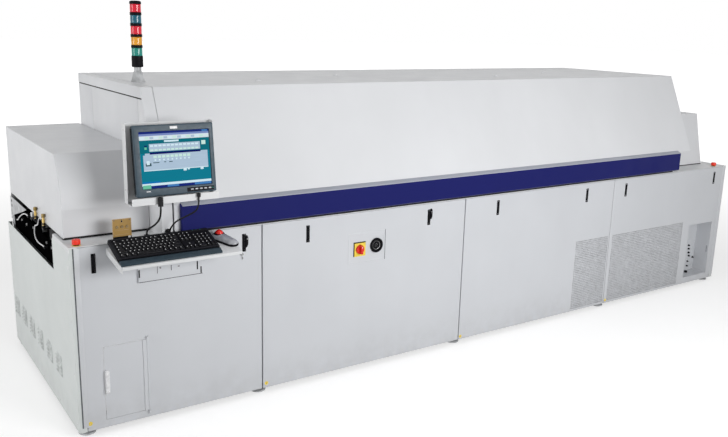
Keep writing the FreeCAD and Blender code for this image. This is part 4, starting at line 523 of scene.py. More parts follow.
def stamp(bm, seed, places):
    """Copies of a seed mesh at each place, given as matrices or points in millimetres."""
    for place in places:
        copy = seed.copy()
        copy.transform(place if isinstance(place, Matrix) else Matrix.Translation(mm(*place)))
        bm.from_mesh(copy)
        bpy.data.meshes.remove(copy)


SCREW_RISE = 2.2
# A screw head's outline, as shares of its radius and of its rise
SCREW_OUTLINE = ((1, 0), (1, 0.45), (0.86, 0.85), (0.5, 1), (0.45, 0.45), (0, 0.45))


def screw_seed(radius, along=FORWARD):
    """A mesh of a domed screw head with a driver socket, standing on a plane."""
    bm = bmesh.new()
    turned(bm, [(radius * wide, SCREW_RISE * up) for wide, up in SCREW_OUTLINE], (0, 0, 0), along, 12)
    bmesh.ops.recalc_face_normals(bm, faces=bm.faces)
    mesh = bpy.data.meshes.new("screw_seed")
    bm.to_mesh(mesh)
    bm.free()
    return mesh


def round_line(name, points, radius, sides, steps):
    """A round curve along a smooth line through control points, all in metres."""
    curve = bpy.data.curves.new(name, "CURVE")
    curve.dimensions = "3D"
    curve.bevel_depth = radius
    curve.bevel_resolution = sides
    curve.resolution_u = steps
    curve.use_fill_caps = True
    line = curve.splines.new("NURBS")
    line.points.add(len(points) - 1)
    for point, place in zip(line.points, points):
        point.co = (*place, 1.0)
    line.order_u = 3
    line.use_endpoint_u = True
    return curve


def tube(name, points, radius):
    """A bmesh of a tube along a smooth line through control points in millimetres."""
    curve = round_line(name + "_line", [mm(*point) for point in points], radius * MM, 3, 6)
    carrier = bpy.data.objects.new(name + "_line", curve)
    bm = bmesh.new()
    bm.from_mesh(bpy.data.meshes.new_from_object(carrier))
    bpy.data.objects.remove(carrier)
    bmesh.ops.remove_doubles(bm, verts=bm.verts, dist=1e-6)
    return bm


def piece(name, bm, finish, body, place=FROM_FACE, slot=None, turn_at=35.0, replaces=()):
    """Make a finished piece of a bmesh: placed, shaded, coloured and riding on its body."""
    bmesh.ops.transform(bm, matrix=place, verts=bm.verts)
    bmesh.ops.recalc_face_normals(bm, faces=bm.faces)
    mesh = bpy.data.meshes.new(name)
    bm.to_mesh(mesh)
    bm.free()
    mesh.materials.append(finish_of(finish))
    mesh.shade_smooth()
    mesh.set_sharp_from_angle(angle=math.radians(turn_at))
    made = bpy.data.objects.new(name, mesh)
    bpy.context.scene.collection.objects.link(made)
    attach(made, body)
    slot = slot or SLOTS.get(finish, finish)
    if replaces:
        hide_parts(*replaces)


def block_piece(name, finish, body, *blocks, **rest):
    """A piece of blocks, each given by its low and high corners and, if it is softened, by how much."""
    bm = bmesh.new()
    for block in blocks:
        slab(bm, *block)
    piece(name, bm, finish, body, **rest)


def turned_piece(name, finish, body, outline, places, along=UPWARD, steps=None, **rest):
    """A piece of one turned shape at each of its places."""
    bm = bmesh.new()
    for place in places:
        turned(bm, outline, place, along, steps)
    piece(name, bm, finish, body, **rest)


# ---------------------------------------------------------------- stage

CAMERA_PLACE = (-3.1160, -3.901427, 1.8054)
CAMERA_RIGHT = (0.83039, -0.55657, 0.02616)
CAMERA_UP = (0.10962, 0.20923, 0.97170)
CAMERA_BACK = (-0.54630, -0.80402, 0.23475)
CAMERA_LENS = 39.86
# Each light: name, place, aim, width and height in metres, power in watts
LIGHTS = (
    ("key_light", (-0.2, -4.5, 1.85), (-0.2, -0.5, 1.05), 2.2, 1.2, 119.0),
    ("side_light", (-7.4, -0.4, 2.0), (-2.3, 0.0, 0.8), 3.0, 2.6, 130.0),
    ("top_light", (0.0, 0.3, 4.6), (0.0, 0.0, 0.0), 5.0, 3.0, 16.0),
)


class OVEN_OT_stage(bpy.types.Operator):
    """Floor, soft studio light and the camera"""
    bl_idname = "oven.stage"
    bl_label = "Stage"

    def execute(self, context):
        scene = context.scene
        scene.view_settings.view_transform = "Standard"
        self.camera(scene)
        self.floor(scene)
        self.world(scene)
        for light in LIGHTS:
            self.lamp(scene, *light)
        return {"FINISHED"}

    def camera(self, scene):
        """The photograph's viewpoint."""
        data = bpy.data.cameras.new("camera")
        data.lens = CAMERA_LENS
        data.sensor_width = 36.0
        data.clip_end = 200.0
        camera = bpy.data.objects.new("camera", data)
        turn = Matrix((CAMERA_RIGHT, CAMERA_UP, CAMERA_BACK)).transposed().to_4x4()
        camera.matrix_world = Matrix.Translation(CAMERA_PLACE) @ turn
        scene.collection.objects.link(camera)
        scene.camera = camera

    def floor(self, scene):
        """A pale floor that keeps the shadow and looks white where it is lit."""
        bm = bmesh.new()
        bmesh.ops.create_grid(bm, x_segments=1, y_segments=1, size=60.0)
        mesh = bpy.data.meshes.new("floor")
        bm.to_mesh(mesh)
        bm.free()
        floor = bpy.data.objects.new("floor", mesh)
        scene.collection.objects.link(floor)
        finish, tree, shader = begin("floor_white")
        shader.inputs["Base Color"].default_value = (0.60, 0.60, 0.60, 1.0)
        shader.inputs["Roughness"].default_value = 0.8
        shader.inputs["Specular IOR Level"].default_value = 0.0
        shader.inputs["Emission Color"].default_value = (1.0, 1.0, 1.0, 1.0)
        where = tree.nodes.new("ShaderNodeTexCoord")
        away = tree.nodes.new("ShaderNodeVectorMath")
        away.operation = "LENGTH"
        tree.links.new(where.outputs["Object"], away.inputs[0])
        glow = spread(tree, away.outputs["Value"], 0.55, 1.0, 3.0, 8.0)
        tree.links.new(times(tree, glow, self.seen(tree, 1.0, 0.0)), shader.inputs["Emission Strength"])
        mesh.materials.append(finish)

    def seen(self, tree, shown, hidden):
        """One value for the camera, mirrors and glass, another for the light."""
        path = tree.nodes.new("ShaderNodeLightPath")
        either = path.outputs["Is Camera Ray"]
        for ray in ("Is Glossy Ray", "Is Transmission Ray"):
            node = tree.nodes.new("ShaderNodeMath")
            node.operation = "MAXIMUM"
            tree.links.new(either, node.inputs[0])
            tree.links.new(path.outputs[ray], node.inputs[1])
            either = node.outputs["Value"]
        return spread(tree, either, hidden, shown, 0.0, 1.0)

    def world(self, scene):
        """White behind the object, softer where it lights it."""
        world = bpy.data.worlds.new("studio")
        scene.world = world
        world.use_nodes = True
        tree = world.node_tree
        shade = tree.nodes["Background"]
        shade.inputs["Color"].default_value = (1.0, 1.0, 1.0, 1.0)
        tree.links.new(self.seen(tree, 1.0, 0.33), shade.inputs["Strength"])

    def lamp(self, scene, name, place, aim, width, tall, power):
        """A soft rectangular light."""
        data = bpy.data.lights.new(name, "AREA")
        data.shape = "RECTANGLE"
        data.size = width
        data.size_y = tall
        data.energy = power
        lamp = bpy.data.objects.new(name, data)
        lamp.location = place
        lamp.rotation_euler = (Vector(aim) - Vector(place)).to_track_quat("-Z", "Y").to_euler()
        scene.collection.objects.link(lamp)


# ---------------------------------------------------------------- cords

MONITOR_CORDS = (
    ("monitor_lead", "monitor_cord_1", 0.008, 0.2807, (
        (-1982, -161.3, 1046), (-1982, -160, 1011), (-1982, -134, 980), (-1981, -88, 953),
        (-1980, -36, 929), (-1979, 4, 914), (-1978, 28, 901), (-1978, 38, 888), (-1978, 40, 878.2))),
    ("monitor_signal_lead", "monitor_cord_2", 0.007, 0.2555, (
        (-1812, -158.3, 1070), (-1813, -158, 1034), (-1822, -151, 1008), (-1843, -132, 990),
        (-1866, -102, 971), (-1886, -72, 950), (-1898, -53, 925), (-1902, -44, 909),
        (-1903, -35, 900), (-1903, -25.4, 897))),
)


class OVEN_OT_cords(bpy.types.Operator):
    """The monitor's two leads, from its shelf to the deck and the end frame"""
    bl_idname = "oven.cords"
    bl_label = "Monitor leads"

    def execute(self, context):
        for name, node, diameter, whole, route in MONITOR_CORDS:
            curve = round_line(name, [FROM_FACE @ mm(*place) for place in route], diameter / 2, 4, 12)
            curve.materials.append(finish_of("cord_rubber"))
            lead = bpy.data.objects.new(name, curve)
            context.scene.collection.objects.link(lead)
            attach(lead, "base")
            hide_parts(node)
        return {"FINISHED"}


# ---------------------------------------------------------------- finishes on the solids

SOLID_FINISHES = {
    "cabinet_paint": ("front_panel_1 front_panel_2 front_panel_3 front_panel_4 access_door"
                      " utility_niche control_cabinet"),
    "deck_paint": "deck keyboard_tray monitor_cradle",
    "end_paint": "end_panels rear_panels",
    "hood_paint": "hood_shell hood_end_frame load_cover exit_cover",
    "bumper_blue": "hood_bumper",
    "frame_paint": "base_frame",
    "stainless": "hinge_brackets exhaust_spigots lift_actuators hood_liner tower_post leveling_feet",
    "bright_steel": "lift_rods drive_shaft",
    "aluminium": "fixed_rail adjustable_rail",
    "chain_steel": "fixed_chain adjustable_chain",
    "nozzle_steel": "lower_zone_modules upper_zone_modules",
    "dark_steel": "conveyor_supports",
    "brass": "fixed_rail_oiler adjustable_rail_oiler",
    "motor_enamel": "lower_blower_motors upper_blower_motors drive_gearmotor",
    "seal_rubber": "deck_gaskets",
    "cord_rubber": "cable_glands monitor_cord_1 monitor_cord_2",
    "black_plastic": ("panel_latches_1 panel_latches_2 panel_latches_3 panel_latches_4 power_socket"
                     " estop_bases"),
    "case_black": "monitor_case keyboard_case",
    "key_black": "keyboard_keys",
    "grey_plastic": "trackball_body",
    "red_plastic": "trackball_ball switch_knob estop_button_left estop_button_right",
    "yellow_plastic": "switch_escutcheon",
    "tan_paint": "jack_plate",
    "lens_amber": "tower_lenses",
    "slate_plastic": "monitor_screen",
}


class OVEN_OT_solids(bpy.types.Operator):
    """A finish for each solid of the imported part"""
    bl_idname = "oven.solids"
    bl_label = "Finishes on the solids"

    def execute(self, context):
        left = set(NODES)
        for finish, names in SOLID_FINISHES.items():
            for name in names.split():
                mesh = NODES[name].data
                mesh.materials.clear()
                mesh.materials.append(finish_of(finish))
                left.discard(name)
        if left:
            raise RuntimeError("no finish for " + ", ".join(sorted(left)))
        return {"FINISHED"}


# ---------------------------------------------------------------- front panels

LEVER_LOW, LEVER_HIGH = 758, 824
POCKET_LOW, POCKET_HIGH = 751, 831
LEVER_HALF = 5.5
POCKET_HALF = 6.5
POCKET_DEEP = 16
PIN_HALF = 9.3
LEVER_AXIS = (9, 816)
# How far below its pocket's top each panel's lock sits, and the lock that has its key beside it
LOCK_DROP = {1: 22, 2: 10}
KEYED_LOCK = 1
LOCK_OUTLINE = [(-4.2, 30), (2, 29), (6.5, 20), (7.5, 6), (6.5, -16), (1, -28), (-4.2, -30)]


def latch_places(number):
    """Middles of a panel's two latches along x."""
    low, high = span("panel_latches_%d" % number)
    return low.x + PIN_HALF, high.x - PIN_HALF


class OVEN_OT_latches(bpy.types.Operator):
    """Flush latches: housings and liners on the panels, levers that swing, two of them with a lock"""
    bl_idname = "oven.latches"
    bl_label = "Panel latches"

    def execute(self, context):
        for number in (1, 2, 3, 4):
            body = "panel_%d" % number
            housings = bmesh.new()
            levers = bmesh.new()
            for x in latch_places(number):
                self.housing(housings, x)
                self.lever(levers, x)
            piece("latch_housings_%d" % number, housings, "black_plastic", body)
            piece("latch_levers_%d" % number, levers, "black_plastic", "latches_%d" % number,
                  replaces=["panel_latches_%d" % number])
            if number in LOCK_DROP:
                self.lock(latch_places(number)[1] + 13.5, POCKET_HIGH - LOCK_DROP[number], number, body)
        return {"FINISHED"}

    def housing(self, bm, x):
        """A thin frame round the pocket and the pocket's liner."""
        ring_plate(bm, (x - POCKET_HALF - 3, -1.6, POCKET_LOW - 3),
                   (x + POCKET_HALF + 3, 0.4, POCKET_HIGH + 3), 3.1, 0.6)
        half = POCKET_HALF - 0.1
        slab(bm, (x - half, POCKET_DEEP - 0.7, POCKET_LOW + 0.1),
             (x + half, POCKET_DEEP - 0.1, POCKET_HIGH - 0.1))
        for low in (POCKET_LOW + 0.1, POCKET_HIGH - 0.6):
            slab(bm, (x - half, 0.5, low), (x + half, POCKET_DEEP - 0.8, low + 0.5))

    def lever(self, bm, x):
        """A lever with grip ridges, a thumb pad, its hub and its cross pin."""
        slab(bm, (x - LEVER_HALF, -2, LEVER_LOW), (x + LEVER_HALF, 6, LEVER_HIGH), 1.3)
        for ridge in range(5):
            low = LEVER_LOW + 5 + ridge * 5
            slab(bm, (x - 4.2, -3.1, low), (x + 4.2, -1.5, low + 2.4), 0.7)
        slab(bm, (x - 3.9, -3.2, LEVER_HIGH - 24), (x + 3.9, -1.5, LEVER_HIGH - 5), 1.0)
        for radius, half, sides in ((5, LEVER_HALF, 24), (2.5, PIN_HALF, 16)):
            turned(bm, [(0, 0), (radius, 0), (radius, 2 * half), (0, 2 * half)], (x - half, *LEVER_AXIS),
                   RIGHTWARD, sides)

    def lock(self, x, z, number, body):
        """A lock beside the lever: black collar and steel plug."""
        bm = bmesh.new()
        prism(bm, [(x + across, 0.3, z - 12 + up) for across, up in LOCK_OUTLINE], (0, -5.6, 0), 1.2)
        piece("lock_collar_%d" % number, bm, "black_plastic", body)
        bm = bmesh.new()
        turned(bm, [(0, 4), (3.6, 4), (3.6, 6), (3.0, 6.6), (0, 6.6)], (x + 1, 0, z), FORWARD, 24)
        slab(bm, (x + 0.4, -7.1, z - 2.6), (x + 1.6, -6.4, z + 2.6), 0.2)
        if number == KEYED_LOCK:
            self.key(bm, x)
        piece("lock_plug_%d" % number, bm, "dull_steel", body)

    def key(self, bm, x):
        """A key hung on a stud below the latch."""
        turned(bm, [(0, -0.3), (1.6, -0.3), (1.6, 6), (2.6, 6.4), (2.6, 7.4), (0, 7.6)], (x - 24, 0, 741),
               FORWARD, 16)
        turned(bm, [(2.4, -0.8), (6, -0.8), (6, 0.8), (2.4, 0.8), (2.4, -0.8)], (x - 24, -3.6, 736.6),
               FORWARD, 24)
        slab(bm, (x - 26, -4.4, 712), (x - 22, -2.8, 732), 0.5)
        slab(bm, (x - 22.4, -4.3, 714), (x - 20, -2.9, 722), 0.4)


PAN_DEEP = 22
SHEET = 2
FOLD = 3
PERFORATED = {3: (781, 1090), 4: (1130, 1890)}
PERFORATED_LOW, PERFORATED_HIGH = 40, 497
NICHE = (1965, 70, 2240, 462)
NICHE_PANEL = 4
# A hole's corner cut as a share of its side, which makes it nearly a regular octagon
HOLE_CORNER = 0.29


class OVEN_OT_perforated_panels(bpy.types.Operator):
    """The third and fourth front panels, folded from sheet and punched with rows of air holes"""
    bl_idname = "oven.perforated_panels"
    bl_label = "Perforated panels"

    def execute(self, context):
        for number, (left, right) in PERFORATED.items():
            name, body = "front_panel_%d" % number, "panel_%d" % number
            windows = [(left, PERFORATED_LOW, right, PERFORATED_HIGH)]
            for x in latch_places(number):
                windows.append((x - POCKET_HALF, POCKET_LOW, x + POCKET_HALF, POCKET_HIGH))
            if number == NICHE_PANEL:
                windows.append(NICHE)
            bm = self.pan(*span(name), windows)
            for x in latch_places(number):
                self.cup(bm, x)
            self.holes(bm, left, right, context.scene.oven_sizes)
            piece("perforated_panel_%d" % number, bm, "cabinet_paint", body, replaces=[name])
            block_piece("vent_filter_%d" % number, "filter_foam", body,
                        ((left - 4, 4, PERFORATED_LOW - 4), (right + 4, 7, PERFORATED_HIGH + 4), 0.6))
        return {"FINISHED"}

    def pan(self, low, high, windows):
        """A folded sheet with square windows."""
        bm = bmesh.new()
        slab(bm, (low.x, 0, low.z), (high.x, PAN_DEEP, high.z))
        front = [edge for edge in bm.edges if any(v.co.y < MM for v in edge.verts)]
        soften(bm, front, FOLD, 3)
        bmesh.ops.delete(bm, geom=[f for f in bm.faces if f.normal.y > 0.9], context="FACES_ONLY")
        for x0, z0, x1, z1 in windows:
            for place, across in ((x0, 0), (x1, 0), (z0, 2), (z1, 2)):
                normal = Vector((0, 0, 0))
                normal[across] = 1.0
                bmesh.ops.bisect_plane(bm, geom=bm.verts[:] + bm.edges[:] + bm.faces[:], dist=1e-7,
                                       plane_co=normal * place * MM, plane_no=normal)
        cut = []
        for face in bm.faces:
            middle = face.calc_center_median() / MM
            if face.normal.y < -0.9 and any(x0 < middle.x < x1 and z0 < middle.z < z1
                                            for x0, z0, x1, z1 in windows):
                cut.append(face)
        bmesh.ops.delete(bm, geom=cut, context="FACES")
        bmesh.ops.solidify(bm, geom=bm.faces[:], thickness=SHEET * MM)
        return bm

    def cup(self, bm, x):
        """The closed pocket behind a latch."""
        shape = bmesh.new()
        slab(shape, (x - POCKET_HALF, SHEET, POCKET_LOW), (x + POCKET_HALF, POCKET_DEEP, POCKET_HIGH))
        bmesh.ops.delete(shape, geom=[f for f in shape.faces if f.normal.y < -0.9], context="FACES_ONLY")
        bmesh.ops.solidify(shape, geom=shape.faces[:], thickness=-FOLD * MM)
        add(bm, shape)

    def holes(self, bm, left, right, sizes):
        """Rows of eight-sided holes in a flat sheet."""
        shape = bmesh.new()
        wide = (right - left) * MM
        tall = (PERFORATED_HIGH - PERFORATED_LOW) * MM
        bmesh.ops.create_grid(shape, x_segments=round(wide / sizes.hole_pitch),
                              y_segments=round(tall / sizes.hole_pitch), size=0.5)
        place = Matrix.Translation(mm((left + right) / 2, 0, (PERFORATED_LOW + PERFORATED_HIGH) / 2))
        bmesh.ops.transform(shape, matrix=place @ Matrix.Rotation(math.pi / 2, 4, "X")
                            @ Matrix.Diagonal((wide, tall, 1, 1)), verts=shape.verts)
        cells = shape.faces[:]
        bmesh.ops.inset_individual(shape, faces=cells, thickness=sizes.hole_land)
        corners = list({vert for face in cells for vert in face.verts})
        side = sizes.hole_pitch - 2 * sizes.hole_land
        bmesh.ops.bevel(shape, geom=corners, offset=HOLE_CORNER * side, offset_type="OFFSET",
                        affect="VERTICES", segments=1, profile=0.5, material=-1)
        bmesh.ops.delete(shape, geom=[f for f in shape.faces if len(f.verts) == 8], context="FACES_ONLY")
        bmesh.ops.solidify(shape, geom=shape.faces[:], thickness=SHEET * MM)
        add(bm, shape)


EARTH_DOTS = {1: (-2276, 62), 2: (-1412, 50), 3: (-148, 44), 4: (1121, 47)}
EARTH_DOT = [(0, -0.3), (9.5, -0.3), (9.5, 0.5), (9, 0.9), (0, 0.9)]
EARTH_STUD = [(0, 0.5), (3.6, 0.5), (3.6, 2.4), (2.8, 3.2), (0, 3.2)]
SEAM_LOW, SEAM_HIGH = 596, 759
# The edge strips start above the panels' pivots
EDGE_LOW = 47
BRACKET_FRONT = -12
# Each dark slot and mark painted as shade on the tray's bracket: its middle along x, its ends and its half width
BRACKET_SHADE_SLOTS = ((-2036, 701, 736, 3), (-1767, 700, 739, 3), (-1749.5, 680, 712, 3), (-1954, 709, 742, 1),
                 (-1890, 714, 738, 1.4))


class OVEN_OT_panel_trim(bpy.types.Operator):
    """Earth dots, the switch's seam plate with a painted shadow line, panel edges with a painted shade strip at
    the corner, the door's pull and the tray bracket's slots painted as shade
    """
    bl_idname = "oven.panel_trim"
    bl_label = "Panel trim"

    def execute(self, context):
        for number, (x, z) in EARTH_DOTS.items():
            body = "panel_%d" % number
            turned_piece("earth_dot_%d" % number, "yellow_plastic", body, EARTH_DOT, [(x, 0, z)], FORWARD, 28)
            turned_piece("earth_stud_%d" % number, "brass", body, EARTH_STUD, [(x, 0, z)], FORWARD, 6)
        bm = bmesh.new()
        ring_plate(bm, (-944, -1.1, SEAM_LOW), (-714, 0.2, SEAM_HIGH), 9, 0.5)
        piece("switch_seam_plate", bm, "cabinet_paint", "panel_2")
        self.edges()
        # Painted shadow: a dark strip beside the seam plate's step
        block_piece("switch_seam_shadow", "motor_enamel", "panel_2",
                    ((-713.5, -0.9, SEAM_LOW), (-710.5, 0.2, SEAM_HIGH), 0.3))
        self.pull()
        self.bracket()
        return {"FINISHED"}

    def pull(self):
        """The access door's moulded pull with grip ridges."""
        block_piece("door_pull", "white_plastic", "door", ((-2204, -17, 191), (-2186, -0.2, 299), 4, 3),
                    *(((-2186.6, -14, z), (-2184.8, -5, z + 4), 0.7) for z in range(212, 290, 11)),
                    slot="cabinet_paint")
        bm = bmesh.new()
        stamp(bm, screw_seed(2.6), [(-2195, -17, 203), (-2195, -17, 287)])
        piece("door_pull_screws", bm, "bright_steel", "door")

    def edges(self):
        """Turned edges that carry the panels' paint over the corners, with the seams beside them; the seam at the
        first panel's corner is a dark strip of painted shade.
        """
        first, last, third = span("front_panel_1"), span("front_panel_4"), span("front_panel_3")
        low, high = EDGE_LOW, first[1].z
        block_piece("first_panel_edge", "cabinet_paint", "panel_1",
                    ((-2304.5, -1.1, low), (first[0].x + 4, -0.05, high), 0.3),
                    ((first[0].x + 0.2, -0.9, low), (first[0].x + 3.8, 0.4, high)))
        # Painted shade: a dark strip in the seam at the corner
        block_piece("corner_seam_shade", "motor_enamel", "base", ((-2310.5, -0.7, low), (-2305, 0.2, high)))
        block_piece("last_panel_edge", "cabinet_paint", "panel_4",
                    ((last[1].x - 4, -1.1, low), (2323, -0.05, high), 0.3),
                    ((last[1].x - 3.8, -0.9, low), (last[1].x - 0.2, 0.4, high)),
                    ((third[1].x + 1, 0.5, low), (last[0].x + 0.4, 1.4, high)))

    def bracket(self):
        """Dark strips painted as shade in the slots and marks of the tray's bracket, a painted shadow line under
        its lower edge, and its screws.
        """
        face = span("front_panel_2")[0].y + BRACKET_FRONT
        # Painted shade in the bracket's slots and marks
        block_piece("bracket_shade_slots", "dark_inside", "panel_1",
                    *(((x - half, face - 0.5, low), (x + half, face + 0.3, high), 0.2)
                      for x, low, high, half in BRACKET_SHADE_SLOTS),
                    # A painted shadow line under the bracket's lower edge
                    ((-2038, face - 0.4, 677.4), (-1742, face + 0.3, 679.4)))
        bm = bmesh.new()
        stamp(bm, screw_seed(4.4), [(-1940, face, 733), (-1855, face, 729)])
        stamp(bm, screw_seed(3.2), [(x, face, z) for x in (-2020, -1820, -1780) for z in (760, 820)])
        piece("bracket_screws", bm, "dull_steel", "panel_1")


# ---------------------------------------------------------------- switches

SWITCH = (-873, 671)
SOCKET = (-769, 680)
KNOB = [(0, -15.7), (5, -15.7), (5, 2.3), (23, 2.3), (24, 3.4), (24, 9), (22.6, 11.6), (20, 12.3), (0, 12.3)]
SOCKET_RIM = [(0, -34), (30, -34), (30, -0.2), (39, -0.2), (39, 6.6), (37.6, 8), (31, 8), (29.6, 7), (28, 2),
              (28, -13), (0, -13)]
SOCKET_CORE = [(0, -13.2), (20, -13.2), (20, 3.2), (18.6, 4.4), (13, 4.4), (12, 3.4), (12, -3), (0, -3)]
SOCKET_GUARD = [(21.2, -8), (23.6, -8), (23.6, 2.6), (22.8, 3.4), (21.2, 2.6), (21.2, -8)]
CONTACT = [(0, -3.4), (2.2, -3.4), (2.2, 1), (1.4, 2), (0, 2)]
CONTACT_RING = 7.4


class OVEN_OT_switches(bpy.types.Operator):
    """The main switch with its red knob and the round socket beside it"""
    bl_idname = "oven.switches"
    bl_label = "Main switch and socket"

    def execute(self, context):
        x, z = SWITCH
        bm = bmesh.new()
        ring_plate(bm, (x - 38, -1.6, z - 37), (x + 36, 0.3, z + 39), 24, 0.4)
        piece("switch_backing", bm, "black_plastic", "panel_2")
        bm = bmesh.new()
        ring_plate(bm, (x - 32, -2.2, z - 37.6), (x + 36.6, -1.2, z + 33), 19, 0.4)
        piece("switch_plate", bm, "yellow_plastic", "panel_2", replaces=["switch_escutcheon"])
        bm = bmesh.new()
        turned(bm, KNOB, (x, 0, z), FORWARD, 40)
        slab(bm, (x - 7, -28.3, z - 22.5), (x + 7, -11.5, z + 22.5), 3.2, 3)
        piece("switch_grip", bm, "red_plastic", "knob", replaces=["switch_knob"])
        block_piece("switch_pointer", "white_plastic", "knob",
                    ((x - 1, -28.7, z + 8), (x + 1, -28, z + 19), 0.2))
        self.socket()
        return {"FINISHED"}

    def socket(self):
        """A deep round socket: stepped rim, key, guard ring and a core with five contacts."""
        x, z = SOCKET
        bm = bmesh.new()
        turned(bm, SOCKET_RIM, (x, 0, z), FORWARD, 48)
        turned(bm, SOCKET_CORE, (x, 0, z), FORWARD, 40)
        slab(bm, (x - 3, -7.4, z - 29), (x + 3, 0, z - 24), 0.6)
        piece("socket_shell", bm, "black_plastic", "panel_2", replaces=["power_socket"])
        bm = bmesh.new()
        turned(bm, SOCKET_GUARD, (x, 0, z), FORWARD, 40)
        for step in range(5):
            angle = math.radians(72 * step + 90)
            place = (x + CONTACT_RING * math.cos(angle), 0, z + CONTACT_RING * math.sin(angle))
            turned(bm, CONTACT, place, FORWARD, 12)
        piece("socket_contacts", bm, "dull_steel", "panel_2")


STOP_HEAD = [(0, 882), (5, 882), (5, 891.5), (13.6, 891.5), (13.6, 877), (16.9, 877), (17.5, 877.8), (17.5, 893),
             (16.6, 895.4), (14, 897), (8, 897.3), (0, 897.4)]
STOP_RING = [(12.7, 870.8), (19, 870.8), (19, 871.4), (18.4, 871.8), (12.7, 871.8), (12.7, 870.8)]


class OVEN_OT_stops(bpy.types.Operator):
    """Emergency stops: red mushroom heads over a boss with a thin yellow ring"""
    bl_idname = "oven.stops"
    bl_label = "Emergency stops"

    def execute(self, context):
        for side in ("left", "right"):
            low, high = span("estop_button_" + side)
            place = ((low.x + high.x) / 2, (low.y + high.y) / 2, 0)
            turned_piece("stop_head_" + side, "stop_red", "stop_" + side, STOP_HEAD, [place], UPWARD, 48,
                         replaces=["estop_button_" + side])
            turned_piece("stop_ring_" + side, "yellow_plastic", "base", STOP_RING, [place], UPWARD, 40)
        return {"FINISHED"}


# ---------------------------------------------------------------- monitor and keyboard

MONITOR_PIVOT = mm(0, -119, 1085)
TILTED = (FROM_FACE @ Matrix.Translation(MONITOR_PIVOT) @ Matrix.Rotation(MONITOR_TILT, 4, "X")
          @ Matrix.Translation(-MONITOR_PIVOT))
SCREEN_LOW, SCREEN_HIGH = (-2048, -139, 1116), (-1743, -137, 1351)
# The housing's top stands lower than its solid's
MONITOR_DROP = 6


class OVEN_OT_monitor(bpy.types.Operator):
    """The monitor leaning back in its cradle: housing, bezel, buttons, ribs and the cradle's screws"""
    bl_idname = "oven.monitor"
    bl_label = "Monitor housing"

    def execute(self, context):
        low, high = span("monitor_case")
        high.z -= MONITOR_DROP
        x = (low.x + high.x) / 2
        z = (low.z + high.z) / 2
        bm = bmesh.new()
        self.bezel(bm, low, high)
        piece("monitor_bezel", bm, "slate_plastic", "base", TILTED, turn_at=30.0)
        self.housing(low, high, x, z)
        block_piece("monitor_mount", "case_black", "base", ((x - 50, -84, z - 50), (x + 50, -57.2, z + 50), 2))
        self.controls(low, high, x)
        self.cradle()
        return {"FINISHED"}

    def bezel(self, bm, low, high):
        """A rounded frame with a sloping lip down to the screen."""
        slab(bm, (low.x, -147, low.z - 2), (high.x, -119, high.z), 6, 4)
        front = max((f for f in bm.faces if f.normal.y < -0.9), key=lambda f: f.calc_area())
        bmesh.ops.inset_individual(bm, faces=[front], thickness=12 * MM)
        middle = (mm(*SCREEN_LOW) + mm(*SCREEN_HIGH)) / 2
        for vert in front.verts:
            vert.co.x = (SCREEN_LOW[0] - 2 if vert.co.x < middle.x else SCREEN_HIGH[0] + 2) * MM
            vert.co.z = (SCREEN_LOW[2] - 2 if vert.co.z < middle.z else SCREEN_HIGH[2] + 2) * MM
        bmesh.ops.inset_individual(bm, faces=[front], thickness=1.2 * MM, depth=-1.2 * MM)
        bmesh.ops.inset_individual(bm, faces=[front], thickness=2.4 * MM, depth=-5.6 * MM)
        bmesh.ops.delete(bm, geom=[front], context="FACES_ONLY")

    def housing(self, low, high, x, z):
        """The back with its raised middle, ribbed sides and air slots."""
        bm = bmesh.new()
        slab(bm, (low.x + 3, -121, low.z + 3), (high.x - 3, -108, high.z - 3), 3)
        prism(bm, [(x - 145, -109, z - 115), (x + 145, -109, z - 115), (x + 145, -109, z + 115),
                   (x - 145, -109, z + 115)], (0, 12, 0), 4)
        for edge in (low.x, high.x):
            for rib in range(3):
                y = -138 + 8.5 * rib
                slab(bm, (edge - 0.9, y, low.z + 12), (edge + 0.9, y + 3.2, high.z - 12), 0.6)
        for slot in range(14):
            slab(bm, (x - 104 + 16 * slot, -111, z + 80), (x - 98 + 16 * slot, -96, z + 116.4), 1.2)
        piece("monitor_housing", bm, "case_black", "base", TILTED, replaces=["monitor_case"])

    def controls(self, low, high, x):
        """Blank badges, five buttons on a strip and a lit dot."""
        block_piece("monitor_badge", "white_plastic", "base",
                    ((x - 17, -148, high.z - 20), (x + 15, -146.5, high.z - 9), 0.6),
                    ((-2034, -147.6, 1104), (-2016, -146.5, 1107), 0.4), place=TILTED)
        lefts = [high.x - 118 + 20 * button for button in range(5)]
        block_piece("monitor_buttons", "grey_plastic", "base",
                    *(((left, -149.4, low.z + 12), (left + 13, -146.4, low.z + 18), 1.3) for left in lefts),
                    place=TILTED)
        block_piece("monitor_button_strip", "case_black", "base",
                    ((high.x - 134, -147.8, low.z + 5), (high.x - 12, -146.4, low.z + 23), 0.6), place=TILTED)
        turned_piece("monitor_lamp", "lens_green", "base", [(0, 0), (2.2, 0), (2.0, 0.8), (0, 1.2)],
                     [(high.x - 18, -147.8, low.z + 15)], FORWARD, 16, place=TILTED)

    def cradle(self):
        """Screws on the cradle's side and back."""
        side = span("monitor_cradle")[0].x
        bm = bmesh.new()
        places = [Matrix.Translation(mm(side, -76, z)) @ Matrix.Rotation(math.pi / 2, 4, "Z")
                  @ Matrix.Rotation(math.pi, 4, "Z") for z in (1110, 1235, 1360)]
        stamp(bm, screw_seed(4.2), places)
        stamp(bm, screw_seed(4.2, REARWARD), [(x, -55, z) for x in (-1949, -1849) for z in (1185, 1285)])
        piece("cradle_screws", bm, "bright_steel", "base")


